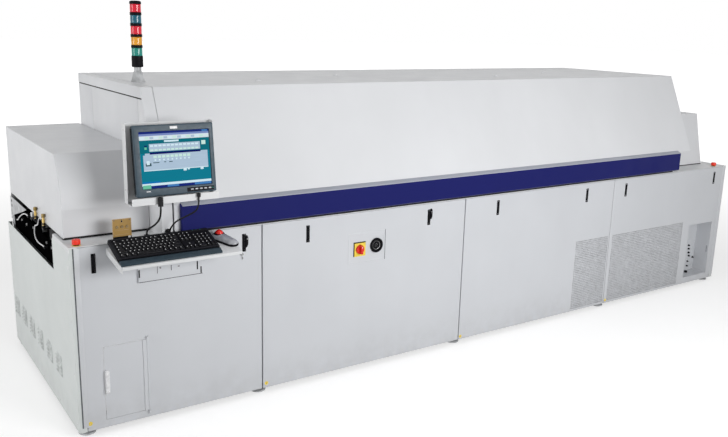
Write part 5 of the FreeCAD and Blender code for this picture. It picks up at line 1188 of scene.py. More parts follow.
NAVY = (0.001, 0.004, 0.115)
INDIGO = (0.008, 0.020, 0.190)
TEAL = (0.002, 0.205, 0.295)
DEEP_TEAL = (0.001, 0.155, 0.205)
OCEAN = (0.002, 0.180, 0.480)
MINT = (0.62, 0.86, 0.78)
PALE = (0.72, 0.82, 0.87)
LILAC = (0.20, 0.27, 0.56)
PANEL = (0.45, 0.58, 0.72)
WHITE = (0.70, 0.88, 0.96)
DARK = (0.03, 0.08, 0.10)
GREEN = (0.16, 0.56, 0.36)
SKY = (0.06, 0.22, 0.52)
# Each pane: left, low, right and high as shares of the screen, and its colour
SCREEN_PANES = (
    (0, 0, 1, 1, TEAL), (0, 0.62, 1, 0.86, DEEP_TEAL), (0, 0.962, 1, 1, INDIGO), (0, 0.925, 1, 0.962, LILAC),
    (0, 0.852, 1, 0.925, PALE), (0, 0.05, 1, 0.092, WHITE), (0, 0, 1, 0.05, INDIGO),
    (0.01, 0, 0.125, 0.066, GREEN), (0.01, 0.094, 0.26, 0.125, OCEAN), (0.355, 0.012, 0.52, 0.048, SKY),
    (0.75, 0.008, 0.995, 0.046, SKY), (0.348, 0.806, 0.556, 0.838, WHITE), (0.134, 0.65, 0.862, 0.785, PANEL),
    (0.07, 0.585, 0.967, 0.622, PANEL), (0.043, 0.32, 0.967, 0.59, PANEL), (0.136, 0.602, 0.866, 0.638, NAVY),
    (0.043, 0.312, 0.967, 0.326, WHITE), (0.072, 0.398, 0.15, 0.45, DARK), (0.085, 0.42, 0.128, 0.49, WHITE),
    (0.07, 0.69, 0.10, 0.73, GREEN), (0.068, 0.74, 0.105, 0.762, NAVY), (0.885, 0.728, 0.945, 0.80, MINT),
    (0.60, 0.276, 0.646, 0.312, WHITE), (0.662, 0.29, 0.69, 0.314, WHITE), (0.85, 0.278, 0.894, 0.312, WHITE),
    (0.175, 0.446, 0.262, 0.46, DARK), (0.33, 0.45, 0.36, 0.464, DARK), (0.40, 0.448, 0.45, 0.462, DARK),
    (0.90, 0.965, 0.98, 0.992, SKY),
)
# How far the panes stand out in all, and the cells on top of them, in millimetres
PANES_RISE, CELL_RISE = 0.5, 0.6


class OVEN_OT_screen(bpy.types.Operator):
    """The lit screen: a generic control page of plain panes"""
    bl_idname = "oven.screen"
    bl_label = "Screen"

    def execute(self, context):
        bm = bmesh.new()
        self.paint = bm.loops.layers.float_color.new("paint")
        for level, pane in enumerate(SCREEN_PANES):
            self.pane(bm, *pane, PANES_RISE * level / len(SCREEN_PANES))
        for column in range(12):
            left = 0.148 + 0.0585 * column
            self.pane(bm, left, 0.735, left + 0.044, 0.765, WHITE, CELL_RISE)
            self.pane(bm, left, 0.66, left + 0.044, 0.69, MINT, CELL_RISE)
        for column in range(9):
            left = 0.185 + 0.06 * column
            self.pane(bm, left, 0.535, left + 0.046, 0.578, MINT, CELL_RISE)
            self.pane(bm, left + 0.012, 0.488, left + 0.036, 0.514, WHITE, CELL_RISE)
        for column in range(14):
            left = 0.02 + 0.065 * column
            self.pane(bm, left, 0.868, left + 0.05, 0.908, (WHITE, MINT, PANEL)[column % 3], CELL_RISE)
        piece("screen_page", bm, "screen_picture", "base", TILTED, replaces=["monitor_screen"])
        return {"FINISHED"}

    def pane(self, bm, left, low, right, high, colour, rise):
        """One flat pane, placed by shares of the screen's width and height."""
        wide, tall = SCREEN_HIGH[0] - SCREEN_LOW[0], SCREEN_HIGH[2] - SCREEN_LOW[2]
        back = SCREEN_LOW[1] + 0.3 if rise else SCREEN_HIGH[1]
        verts = slab(bm, (SCREEN_LOW[0] + left * wide, SCREEN_LOW[1] - rise, SCREEN_LOW[2] + low * tall),
                     (SCREEN_LOW[0] + right * wide, back, SCREEN_LOW[2] + high * tall))
        for face in {face for vert in verts for face in vert.link_faces}:
            for loop in face.loops:
                loop[self.paint] = (*colour, 1.0)


# The keyboard's place: raised at the back on its feet
ON_FEET = (ON_TRAY @ Matrix.Translation(mm(-12, -210, 0)) @ Matrix.Rotation(FEET_TILT, 4, "X")
           @ Matrix.Translation(mm(0, 190, 0)))
KEY_UNIT = 18.5
KEY_GAP = 2.5
KEY_ROW = (128 - KEY_GAP) / 6
KEY_BACK = -20.5
KEY_BLOCKS = (-2147.5, -1865.0, -1804.5)
KEY_LOW, KEY_HIGH = 13.8, 20.8
# Each row of a block: widths in key units, negative for a gap
KEY_ROWS = (
    ((1, -1, 1, 1, 1, 1, -0.5, 1, 1, 1, 1, -0.5, 1, 1, 1, 1), (1,) * 13 + (2,), (1.5,) + (1,) * 12 + (1.5,),
     (1.75,) + (1,) * 11 + (2.25,), (2.25,) + (1,) * 10 + (2.75,), (1.25,) * 3 + (6.25,) + (1.25,) * 4),
    ((1, 1, 1), (1, 1, 1), (1, 1, 1), (), (-1, 1), (1, 1, 1)),
    ((), (1, 1, 1, 1), (1, 1, 1), (1, 1, 1, 1), (1, 1, 1), (2, 1)),
)
# The last block's other keys: column, row and how many rows tall
PAD_KEYS = ((3, 2, 1), (3, 4, 2))
CASE_LEFT, CASE_RIGHT = -2160, -1720
REST_LEFT, REST_RIGHT = -2161, -1719
REST_OUTLINE = [(-190, 0.4), (-190, 7), (-186, 9.8), (-168, 13.4), (-160, 11.6), (-158.6, 0.4)]
TRAY_LEFT, TRAY_RIGHT, TRAY_FRONT = -2172, -1640, -219
TRAY_SHEET = 1.5
GUSSET = ((-1, 737), (-1, 838), (-5, 849.5), (-90, 837.6), (-90, 826))


class OVEN_OT_keyboard(bpy.types.Operator):
    """The tray, and the keyboard's caps on their carrier, palm rest, lamps, case mouldings and feet"""
    bl_idname = "oven.keyboard"
    bl_label = "Keyboard"

    def execute(self, context):
        self.taper = context.scene.oven_sizes.key_taper / MM
        self.tray()
        self.caps()
        self.case()
        return {"FINISHED"}

    def caps(self):
        """All the keycaps on their carrier sheet, and the pale marks on them."""
        self.legends = bmesh.new()
        bm = bmesh.new()
        slab(bm, (-2149.5, -145.5, 12.3), (-1730.5, -18.5, KEY_LOW + 0.2))
        for left, rows in zip(KEY_BLOCKS, KEY_ROWS):
            for row, widths in enumerate(rows):
                x = left
                for width in widths:
                    if width > 0:
                        self.cap(bm, x, row, width, 1)
                    x += abs(width) * KEY_UNIT
        for column, row, tall in PAD_KEYS:
            self.cap(bm, KEY_BLOCKS[2] + column * KEY_UNIT, row, 1, tall)
        piece("key_caps", bm, "key_black", "keys", ON_FEET, replaces=["keyboard_keys"])
        piece("key_legends", self.legends, "white_plastic", "keys", ON_FEET)

    def case(self):
        """The palm rest, the case round the keys, its feet and its lamps."""
        bm = bmesh.new()
        bar(bm, REST_OUTLINE, REST_LEFT, REST_RIGHT, 1.6)
        piece("palm_rest", bm, "rest_plastic", "panel_1", ON_FEET)
        block_piece("keyboard_mouldings", "case_black", "panel_1",
                    *(((x, -156, 0.4), (x + 5, -7, 18.6), 2) for x in (-2163, -1724.5)),
                    ((CASE_LEFT, -158, 0.4), (CASE_RIGHT, -8, 9)),
                    *(((x, -158, 8), (x + 9.5, -8, 18)) for x in (CASE_LEFT, -1729.5)),
                    ((CASE_LEFT, -17, 0.5), (CASE_RIGHT, -6, 20), 1.6),
                    ((CASE_LEFT, -157.5, 14), (CASE_RIGHT, -147, 18.8), 1.4),
                    *(((x, -147, 14), (x + 2.6, -17, 18.7), 0.6) for x in (-1868.4, -1808)),
                    place=ON_FEET, slot="keyboard_black", replaces=["keyboard_case"])
        block_piece("keyboard_feet", "case_black", "panel_1",
                    *(((x - 12, -61, 0.3), (x + 13, -46, 27), 2) for x in (-2130, -1775)),
                    place=ON_TRAY, slot="keyboard_black")
        turned_piece("keyboard_lamps", "lens_green", "panel_1", [(0, 0), (1.8, 0), (1.6, 0.7), (0, 1)],
                     [(-1790 + 18 * step, -12, 20) for step in range(3)], UPWARD, 12, place=ON_FEET)

    def cap(self, bm, x, row, units, rows):
        """A tapered keycap with rounded edges and a pale mark."""
        right = x + units * KEY_UNIT - KEY_GAP
        back = KEY_BACK - row * KEY_ROW
        front = back - rows * KEY_ROW + KEY_GAP
        shape = bmesh.new()
        verts = slab(shape, (x, front, KEY_LOW), (right, back, KEY_HIGH))
        middle = mm((x + right) / 2, (front + back) / 2 + 0.6, 0)
        narrow = ((right - x - 2 * self.taper) / (right - x),
                  (back - front - 2 * self.taper) / (back - front), 1)
        bmesh.ops.scale(shape, vec=narrow, space=Matrix.Translation(-middle),
                        verts=[v for v in verts if v.co.z > (KEY_LOW + 1) * MM])
        soften(shape, shape.edges, 1.0)
        add(bm, shape)
        slab(self.legends, (x + 4, back - 9.2, KEY_HIGH - 0.1), (x + 7.6, back - 4.8, KEY_HIGH + 0.12))

    def tray(self):
        """The sheet tray with turned-down edges, on its bracket and two gussets."""
        edges = [((x, TRAY_FRONT, -28), (x + TRAY_SHEET, -2, -0.2), 0.5)
                 for x in (TRAY_LEFT, TRAY_RIGHT - TRAY_SHEET)]
        block_piece("tray_pan", "deck_paint", "panel_1",
                    ((TRAY_LEFT, TRAY_FRONT, -TRAY_SHEET), (TRAY_RIGHT, 0, 0), 0.5),
                    ((TRAY_LEFT, TRAY_FRONT, -14), (TRAY_RIGHT, TRAY_FRONT + TRAY_SHEET, -0.2), 0.5),
                    *edges, place=ON_TRAY, replaces=["keyboard_tray"])
        bm = bmesh.new()
        slab(bm, (-2039, BRACKET_FRONT, 677), (-1741, -0.1, 838), 0.8)
        for x in (-2039, -1742.5):
            prism(bm, [(x, y, z) for y, z in GUSSET], (TRAY_SHEET, 0, 0))
        piece("tray_bracket", bm, "cabinet_paint", "panel_1")


BALL = tuple(value / MM for value in ON_TRAY.inverted() @ (sum(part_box("trackball_ball"), Vector()) / 2))
BALL_RADIUS = 19
BALL_RING = [(19.7, 20), (19.7, 28.6), (20.6, 29.6), (22.4, 29), (24.6, 25), (24.6, 20)]
TRACK_NOSE = (-1652, -136)


class OVEN_OT_trackball(bpy.types.Operator):
    """The trackball: a domed teardrop with a dark skirt, its ball and the ring round it"""
    bl_idname = "oven.trackball"
    bl_label = "Trackball"

    def execute(self, context):
        bm = self.dome(10, 60, 0.0)
        piece("trackball_dome", bm, "grey_plastic", "panel_1", ON_TRAY, replaces=["trackball_body"])
        bm = self.dome(0.3, 10.4, 0.8)
        turned(bm, BALL_RING, (*BALL[:2], 0))
        piece("trackball_skirt", bm, "black_plastic", "panel_1", ON_TRAY)
        bm = bmesh.new()
        bmesh.ops.create_uvsphere(bm, u_segments=48, v_segments=24, radius=BALL_RADIUS * MM)
        bmesh.ops.translate(bm, vec=mm(*BALL), verts=bm.verts)
        piece("trackball_globe", bm, "red_plastic", "ball", ON_TRAY, replaces=["trackball_ball"])
        return {"FINISHED"}

    def dome(self, low, high, grow):
        """The body between two heights, grown a little all round."""
        cloud = bmesh.new()
        for (x, y), radius, base, tall in ((BALL[:2], 37, 5, 25), (TRACK_NOSE, 28, 4, 22)):
            part = bmesh.new()
            bmesh.ops.create_uvsphere(part, u_segments=40, v_segments=20, radius=1.0)
            scale = Matrix.Diagonal(((radius + grow) * MM, (radius + grow) * MM, (tall + grow) * MM, 1))
            bmesh.ops.transform(part, matrix=Matrix.Translation(mm(x, y, base)) @ scale, verts=part.verts)
            bmesh.ops.delete(part, geom=part.edges[:], context="EDGES_FACES")
            add(cloud, part)
        bmesh.ops.convex_hull(cloud, input=cloud.verts)
        bmesh.ops.delete(cloud, geom=[v for v in cloud.verts if not v.link_faces], context="VERTS")
        for level, way in ((low, -1), (high, 1)):
            bmesh.ops.bisect_plane(cloud, geom=cloud.verts[:] + cloud.edges[:] + cloud.faces[:], dist=1e-7,
                                   plane_co=mm(0, 0, level), plane_no=(0, 0, way), clear_outer=True)
        bmesh.ops.holes_fill(cloud, edges=[e for e in cloud.edges if e.is_boundary], sides=0)
        return cloud


# ---------------------------------------------------------------- light tower

LENS_COLOURS = ("green", "amber", "red", "blue", "red")
LENS_LOW, LENS_TALL, LENS_PITCH = 1630, 37, 50
TOWER_FOOT = [(0, 1508), (34, 1508), (34, 1511), (32.4, 1513), (31, 1516), (24, 1544), (22.4, 1553), (20, 1556),
              (17.2, 1556.6), (17.2, 1579), (0, 1579)]
TOWER_BASE = [(0, 1577.4), (24, 1577.4), (26.4, 1579), (27, 1581), (27, 1600), (26.2, 1601), (26.2, 1603),
              (27, 1604), (27, 1628.4), (25.6, 1630), (0, 1630)]
# Outlines above a level: a collar between lenses, the cap and a lens
TOWER_COLLAR = [(0, 0), (25.6, 0), (27, 1.4), (27, 5.6), (26.3, 6.2), (26.3, 7), (27, 7.6), (27, 11.6), (25.6, 13),
                (0, 13)]
TOWER_CAP = [(0, 0), (25.6, 0), (27, 1.4), (27, 9), (25, 13), (18, 15.4), (0, 16)]
TOWER_LENS = [(0, 0), (24.2, 0), (25.5, 1.2), (25.5, 3), (25.1, 3.6), (25.5, 18.5), (25.1, 33.4), (25.5, 34),
              (25.5, 35.8), (24.2, 37), (0, 37)]


class OVEN_OT_tower(bpy.types.Operator):
    """The light tower: spun foot and pole, black housings and five coloured lenses"""
    bl_idname = "oven.tower"
    bl_label = "Light tower"

    def execute(self, context):
        low, high = span("tower_lenses")
        self.place = ((low.x + high.x) / 2, (low.y + high.y) / 2, 0)
        turned_piece("tower_foot", "zinc", "hood", TOWER_FOOT, [self.place], steps=48)
        bm = bmesh.new()
        turned(bm, TOWER_BASE, self.place, steps=48)
        for level in range(5):
            outline = TOWER_CAP if level == 4 else TOWER_COLLAR
            self.stack(bm, outline, LENS_LOW + level * LENS_PITCH + LENS_TALL, 48)
        piece("tower_housings", bm, "black_plastic", "hood", replaces=["tower_post"])
        for colour in dict.fromkeys(LENS_COLOURS):
            bm = bmesh.new()
            for level, name in enumerate(LENS_COLOURS):
                if name == colour:
                    self.stack(bm, TOWER_LENS, LENS_LOW + level * LENS_PITCH, 56)
            piece("tower_lens_" + colour, bm, "lens_" + colour, "hood",
                  replaces=["tower_lenses"] if colour == "green" else ())
        return {"FINISHED"}

    def stack(self, bm, outline, level, steps):
        """One turned part of the tower, with its outline raised to a level."""
        turned(bm, [(radius, level + rise) for radius, rise in outline], self.place, steps=steps)


# ---------------------------------------------------------------- hood, frame and covers

LEDGE = [(-41.5, 1006), (-41.5, 1009.5), (-14.2, 1021.8), (-13.6, 1021), (-17.7, 1012), (-20, 1010)]
BUMPER_CAP = [(-41, 894), (-41, 1008), (-18, 1016), (-18, 885)]
ROOF_PLUG = [(0, 1507.8), (15, 1507.8), (15, 1510), (11, 1514.5), (6, 1516.5), (0, 1517)]
ROOF_PLUGS = [(-1228, 447, 0), (-598, 712, 0), (420, 447, 0), (1110, 712, 0)]


class OVEN_OT_hood_trim(bpy.types.Operator):
    """The ledge above the bumper, bumper end caps, roof plugs and the hood's rear screws"""
    bl_idname = "oven.hood_trim"
    bl_label = "Hood trim"

    def execute(self, context):
        low, high = span("hood_bumper")
        bm = bmesh.new()
        bar(bm, LEDGE, low.x - 1, high.x + 1, 0.5)
        piece("bumper_ledge", bm, "ledge_paint", "hood")
        bm = bmesh.new()
        for x0, x1 in ((low.x - 5, low.x + 0.5), (high.x - 0.5, high.x + 5)):
            bar(bm, BUMPER_CAP, x0, x1, 1.6)
        piece("bumper_caps", bm, "bumper_blue", "hood")
        turned_piece("roof_plugs", "hood_paint", "hood", ROOF_PLUG, ROOF_PLUGS, steps=24)
        bm = bmesh.new()
        places = [(x, 1205, z) for x in range(-1820, 1850, 240) for z in (930, 1480)]
        stamp(bm, screw_seed(4.5, REARWARD), places)
        piece("hood_rear_screws", bm, "bright_steel", "hood")
        return {"FINISHED"}


# The end frame's skin sheets and its roof band, as (y, z) outlines
END_SHEETS = (
    [(962, 884), (1203, 884), (1203, 1453), (962, 1453)],
    [(240, 884), (958, 884), (958, 1453), (240, 1453)],
    [(-14, 886), (236, 886), (236, 1453), (181, 1453), (-14, 1016)],
)
ROOF_BAND = [(184, 1459), (204, 1507), (1204, 1507), (1204, 1459)]


class OVEN_OT_end_frame(bpy.types.Operator):
    """Skin sheets, roof band and seams on the fixed end frame, and a stop under the load cover"""
    bl_idname = "oven.end_frame"
    bl_label = "End frame sheets"

    def execute(self, context):
        wall = span("hood_end_frame")[0].x
        bm = bmesh.new()
        for sheet in END_SHEETS:
            prism(bm, [(wall - 1.4, y, z) for y, z in sheet], (1.6, 0, 0), 0.5)
        prism(bm, [(wall - 3, y, z) for y, z in ROOF_BAND], (3.2, 0, 0), 1.0)
        piece("end_frame_sheets", bm, "hood_paint", "base")
        block_piece("end_frame_seam", "seal_rubber", "base", ((wall - 0.5, 190, 1452), (wall + 0.2, 1200, 1460)))
        bm = bmesh.new()
        bar(bm, [(23, 1100), (206, 1505), (212, 1503), (30, 1098)], -1877.8, -1872.8)
        piece("end_frame_seal", bm, "hood_paint", "base")
        turned_piece("cover_stop", "black_plastic", "base", [(0, 0), (9, 0), (9, 5), (7, 8), (0, 8)],
                     [(-1915, 141, 871)], steps=24)
        return {"FINISHED"}


LOUVRE_PATCHES, LOUVRE_SLOTS = 6, 5
LOUVRE_FIRST, LOUVRE_PITCH = 296, 181
SLOT_FIRST, SLOT_PITCH = 200, 19


class OVEN_OT_louvres(bpy.types.Operator):
    """Pressed lips on the load end, screws round the end panels, corner fillers and the gasket's lip"""
    bl_idname = "oven.louvres"
    bl_label = "End louvres"

    def execute(self, context):
        wall = span("end_panels")[0].x
        far = span("end_panels")[1].x
        self.lips(wall)
        bm = bmesh.new()
        for x, way in ((wall, -1), (far, 1)):
            places = [(x, 24, z) for z in (60, 300, 540, 780)] + [(x, 1271, z) for z in (60, 300, 540, 680)]
            places += [(x, y, 50) for y in (330, 640, 950)]
            stamp(bm, screw_seed(4.0, (way, 0, 0)), places)
        piece("end_panel_screws", bm, "bright_steel", "base")
        block_piece("corner_fillers", "end_paint", "base",
                    *(((x, 0.2, 849), (x + 32.5, 2.2, 868.2)) for x in (wall + 2, far - 34.5)))
        cover = span("load_cover")
        block_piece("gasket_lip", "seal_rubber", "base",
                    ((cover[0].x + 4, 132.5, 871.2), (cover[1].x, 136.6, 880), 1.2))
        return {"FINISHED"}

    def lips(self, wall):
        """Patches of louvres, each a thin plate with a row of lips, both painted darker than the end sheet as
        painted shade.
        """
        bm = bmesh.new()
        for patch in range(LOUVRE_PATCHES):
            y = LOUVRE_FIRST + LOUVRE_PITCH * patch
            slab(bm, (wall - 0.6, y - 52, 195), (wall + 0.3, y + 52, 297), 0.2)
            for slot in range(LOUVRE_SLOTS):
                z = SLOT_FIRST + SLOT_PITCH * slot
                lip = [(wall + 0.3, z + 9.6), (wall - 3.4, z + 6.4), (wall - 5.4, z + 1.4),
                       (wall - 4.4, z + 1.0), (wall - 2.4, z + 5.4), (wall + 0.3, z + 8)]
                prism(bm, [(x, y - 49, level) for x, level in lip], (0, 98, 0))
        piece("louvre_lips", bm, "louvre_paint", "base")


# ---------------------------------------------------------------- conveyor, niche, rear

OIL_LINES = (
    ("oil_line_long", (
        (-2316, 486, 884), (-2317, 520, 888), (-2317, 556, 880), (-2317, 577, 850), (-2317, 600, 834),
        (-2317, 650, 826), (-2317, 676, 786), (-2317, 655, 756), (-2317, 590, 749), (-2317, 520, 757),
        (-2316, 470, 757))),
    ("oil_line_short", (
        (-2316, 790, 836), (-2317, 820, 840), (-2317, 890, 832), (-2317, 970, 806), (-2317, 1040, 774),
        (-2316, 1070, 757), (-2316, 1092, 757))),
)
# Each oiler: its node, its body, its middle along y and the way its drip tube turns
OILERS = (("fixed_rail_oiler", "base", 446, 1), ("adjustable_rail_oiler", "width_rail", 604, -1))
VALVE_BODY = [(0, 855), (4, 855), (4, 872), (6, 873), (6, 880), (5.2, 881), (0, 881)]
VALVE_STEM = [(0, 880.5), (6, 880.5), (6, 884), (6.8, 885), (6.8, 897), (6, 898), (6, 908), (0, 908)]
VALVE_KNOB = [(0, 907), (8, 907), (8.8, 908.2), (8.8, 920), (7.6, 923), (0, 924)]
CHAIN_GUARD = ((890, 848), (1290, 848), (1290, 722), (1195, 762), (1004, 813))
BOLT = [(0, 0), (7, 0), (7, 4), (6, 5.4), (0, 5.4)]
LOAD_BOLTS = ((744, 790), (478, 778), (380, 776), (900, 772), (1010, 772))
EXIT_BOLTS = ((1190, 770, 2308), (1224, 770, 2308), (1190, 828, 2308), (345, 768, 2308), (378, 785, 2308),
              (712, 766, 2312), (736, 785, 2312), (478, 778, 2303), (560, 772, 2303), (900, 772, 2303))


class OVEN_OT_conveyor_ends(bpy.types.Operator):
    """Oiler valves, oil lines, brackets and bolts in the end notches"""
    bl_idname = "oven.conveyor_ends"
    bl_label = "Conveyor ends"

    def execute(self, context):
        for oiler in OILERS:
            self.valve(*oiler)
        for name, route in OIL_LINES:
            piece(name, tube(name, route, 3.0), "white_plastic", "base")
        self.fittings()
        self.brackets()
        return {"FINISHED"}

    def valve(self, node, body, y, side):
        """A black valve body on a bracket, with a brass stem, a dark knob and a black drip tube."""
        low, high = span(node)
        x = low.x + 4
        bm = bmesh.new()
        slab(bm, (low.x, y - 8, 850), (high.x, y + 8, 855), 1.2)
        if side < 0:
            slab(bm, (low.x + 4, y + 7, 850), (low.x + 22, y + 122, 853), 0.8)
        turned(bm, VALVE_BODY, (x, y, 0), steps=24)
        turned(bm, [(5, 860), (7.4, 860), (7.4, 867), (5, 867)], (x, y, 0), steps=6)
        piece("valve_body_" + body, bm, "black_plastic", body, replaces=[node])
        bm = bmesh.new()
        turned(bm, VALVE_STEM, (x, y, 0), steps=24)
        turned(bm, [(3, 868), (6, 868), (6, 876), (3, 876)], (x, y, 0), steps=6)
        piece("valve_stem_" + body, bm, "brass", body)
        turned_piece("valve_knob_" + body, "olive_cap", body, VALVE_KNOB, [(x, y, 0)], steps=24)
        route = [(x, y + side * out, z) for out, z in ((4, 875), (9, 875), (18, 874), (19.5, 864), (19.5, 851))]
        piece("drip_tube_" + body, tube("drip", route, 2.4), "cord_rubber", body)
        if side < 0:
            block_piece("oil_junction", "white_plastic", body,
                        ((low.x + 5, y + 96, 852.5), (low.x + 21, y + 121, 873), 1.6))

    def fittings(self):
        """Black elbows at the ends of the oil lines."""
        bm = bmesh.new()
        for _, route in OIL_LINES:
            for x, y, z in (route[0], route[-1]):
                turned(bm, [(0, 0), (6, 0), (6, 9), (4.4, 12), (0, 12)], (x + 11, y, z), LEFTWARD, 20)
                slab(bm, (x - 5.4, y - 5.4, z - 5.4), (x + 6, y + 5.4, z + 5.4), 1.4)
        slab(bm, (-2305, 470, 872), (-2297, 500, 893), 1.0)
        slab(bm, (-2305, 774, 818), (-2297, 806, 848), 1.0)
        piece("oil_fittings", bm, "black_plastic", "base")

    def brackets(self):
        """Chain guard with its two holes painted dark as shade, a dark sheet painted as shade in the notch, rail
        caps and bolts at the load end, plates and bolts at the exit end.
        """
        bm = bmesh.new()
        prism(bm, [(-2306, y, z) for y, z in CHAIN_GUARD], (3, 0, 0), 0.6)
        piece("chain_guard", bm, "zinc", "base")
        # Painted shade: a dark sheet in the notch's lower part
        block_piece("notch_shade_sheet", "dark_steel", "base", ((-2301, 300, 688), (-2299.5, 1290, 753)))
        for low, high, body in ((430.5, 461.5, "base"), (583.5, 624.5, "width_rail")):
            block_piece("rail_cap_" + body, "dark_steel", body,
                        ((-2302.4, low, 801), (-2299.8, high, 849.8), 0.6))
        # Painted shade: dark discs in the chain guard's two holes
        turned_piece("guard_hole_shade", "dark_inside", "base", [(0, -0.2), (8, -0.2), (8, 0.4), (0, 0.4)],
                     [(-2306, 1252, 826), (-2306, 1252, 800)], LEFTWARD, 24)
        block_piece("exit_brackets", "stainless", "base", ((2303, 1176, 752), (2308, 1238, 846), 1.6),
                    ((2303, 330, 752), (2308, 392, 800), 1.6), ((2303, 700, 754), (2312, 748, 797), 1.6))
        bm = bmesh.new()
        for y, z in LOAD_BOLTS:
            turned(bm, BOLT, (-2303, y, z), LEFTWARD, 6)
        for y, z, x in EXIT_BOLTS:
            turned(bm, BOLT, (x, y, z), RIGHTWARD, 6)
        piece("end_bolts", bm, "dull_steel", "base")


# Each port: its middle and its radius
NICHE_PORTS = ((2157, 264, 5.5), (2160, 237, 5.5), (2165, 207, 5.5), (2172, 181, 5.5), (2222, 164, 6),
               (2164, 139, 4), (2163, 104, 4))
NICHE_SCREW = [(0, 0), (3.4, 0), (3.4, 1.4), (2.4, 2.2), (0, 2.2)]
PORT_PLATE = 3


class OVEN_OT_niche(bpy.types.Operator):
    """Ports on the utility niche's back, their plate and screws, a catch and a drain plug"""
    bl_idname = "oven.niche"
    bl_label = "Niche ports"

    def execute(self, context):
        back = span("utility_niche")[1].y - 2
        face = back - PORT_PLATE
        block_piece("port_plate", "cabinet_paint", "base", ((2120, face, 84), (2232, back + 0.3, 300), 2))
        bm = bmesh.new()
        for x, z, radius in NICHE_PORTS:
            turned(bm, [(0, 0), (radius + 2, 0), (radius + 2, 3), (radius, 5), (radius, 10), (radius - 1, 11.5),
                        (radius - 2, 11.5), (radius - 2, 6), (0, 6)], (x, face, z), FORWARD, 24)
        turned(bm, [(0, 0), (12, 0), (12, 10), (9, 14), (0, 14)], (2108, 76, 70), steps=24)
        piece("niche_ports", bm, "black_plastic", "base")
        block_piece("niche_catch", "grey_plastic", "base", ((2238.6, 11, 226), (2240.4, 20, 275), 0.6))
        turned_piece("niche_screws", "bright_steel", "base", NICHE_SCREW,
                     [(x, face, z) for z in (90, 294) for x in (2126, 2226)], FORWARD, 12)
        return {"FINISHED"}


JACK = [(3, 0), (6.4, 0), (6.4, 1.8), (5, 4.6), (3, 4.6), (3, 0)]
JACK_PITCH, JACK_LEVEL = 22, 930
# The screws stand clear of the hole in the plate
JACK_SCREW_LEVEL = 960


class OVEN_OT_jack_plate(bpy.types.Operator):
    """Jacks, a rim, a connector row and screws on the tan plate, with a black block behind its hole as painted
    shade
    """
    bl_idname = "oven.jack_plate"
    bl_label = "Jack plate"

    def execute(self, context):
        low, high = span("jack_plate")
        x = (low.x + high.x) / 2
        bm = bmesh.new()
        ring_plate(bm, (low.x - 1, low.y - 1.4, low.z + 1), (high.x + 1, low.y + 0.3, high.z + 1), 3.4, 0.5)
        for z in (895, 915):
            slab(bm, (x - 30, low.y - 1.2, z), (x + 30, low.y + 0.3, z + 1.2), 0.3)
        piece("jack_rim", bm, "tan_paint", "base")
        turned_piece("jack_sockets", "olive_cap", "base", JACK,
                     [(x - 22 + JACK_PITCH * step, low.y, JACK_LEVEL) for step in range(3)], FORWARD, 20)
        block_piece("jack_row", "black_plastic", "base",
                    ((low.x, low.y - 6, low.z + 0.3), (high.x, low.y - 0.2, low.z + 17), 1.4),
                    # Painted shade: a black block seen through the plate's hole
                    ((x - 8, low.y + 2.9, high.z - 20), (x + 8, low.y + 3.5, high.z - 6)))
        block_piece("jack_plug", "white_plastic", "base",
                    ((high.x - 16, low.y - 9, low.z + 9), (high.x - 5, low.y - 3, low.z + 18), 1.2))
        bm = bmesh.new()
        stamp(bm, screw_seed(2.4), [(edge, low.y, JACK_SCREW_LEVEL) for edge in (low.x + 7, x, high.x - 7)])
        piece("jack_screws", bm, "motor_enamel", "base", slot="stainless")
        return {"FINISHED"}


REAR_PANELS = ((-2287, -1436), (-1430, -166), (-160, 1102), (1108, 2287))
LOUVRED_REAR_PANELS = (1, 2)
REAR_TURN = [(0, -0.3), (13, -0.3), (13, 1.6), (11.4, 2.8), (0, 2.8)]
CLAMP_BAND = [(75.2, 46), (77, 46.6), (77, 57.4), (75.2, 58), (75.2, 46)]
FLANGE_BOLT = [(0, 3.8), (4.4, 3.8), (4.4, 6.4), (3.4, 7.4), (0, 7.4)]
SPIGOT_XS, SPIGOT_Z = (-2050, 2050), 600
FLANGE_RING = 86


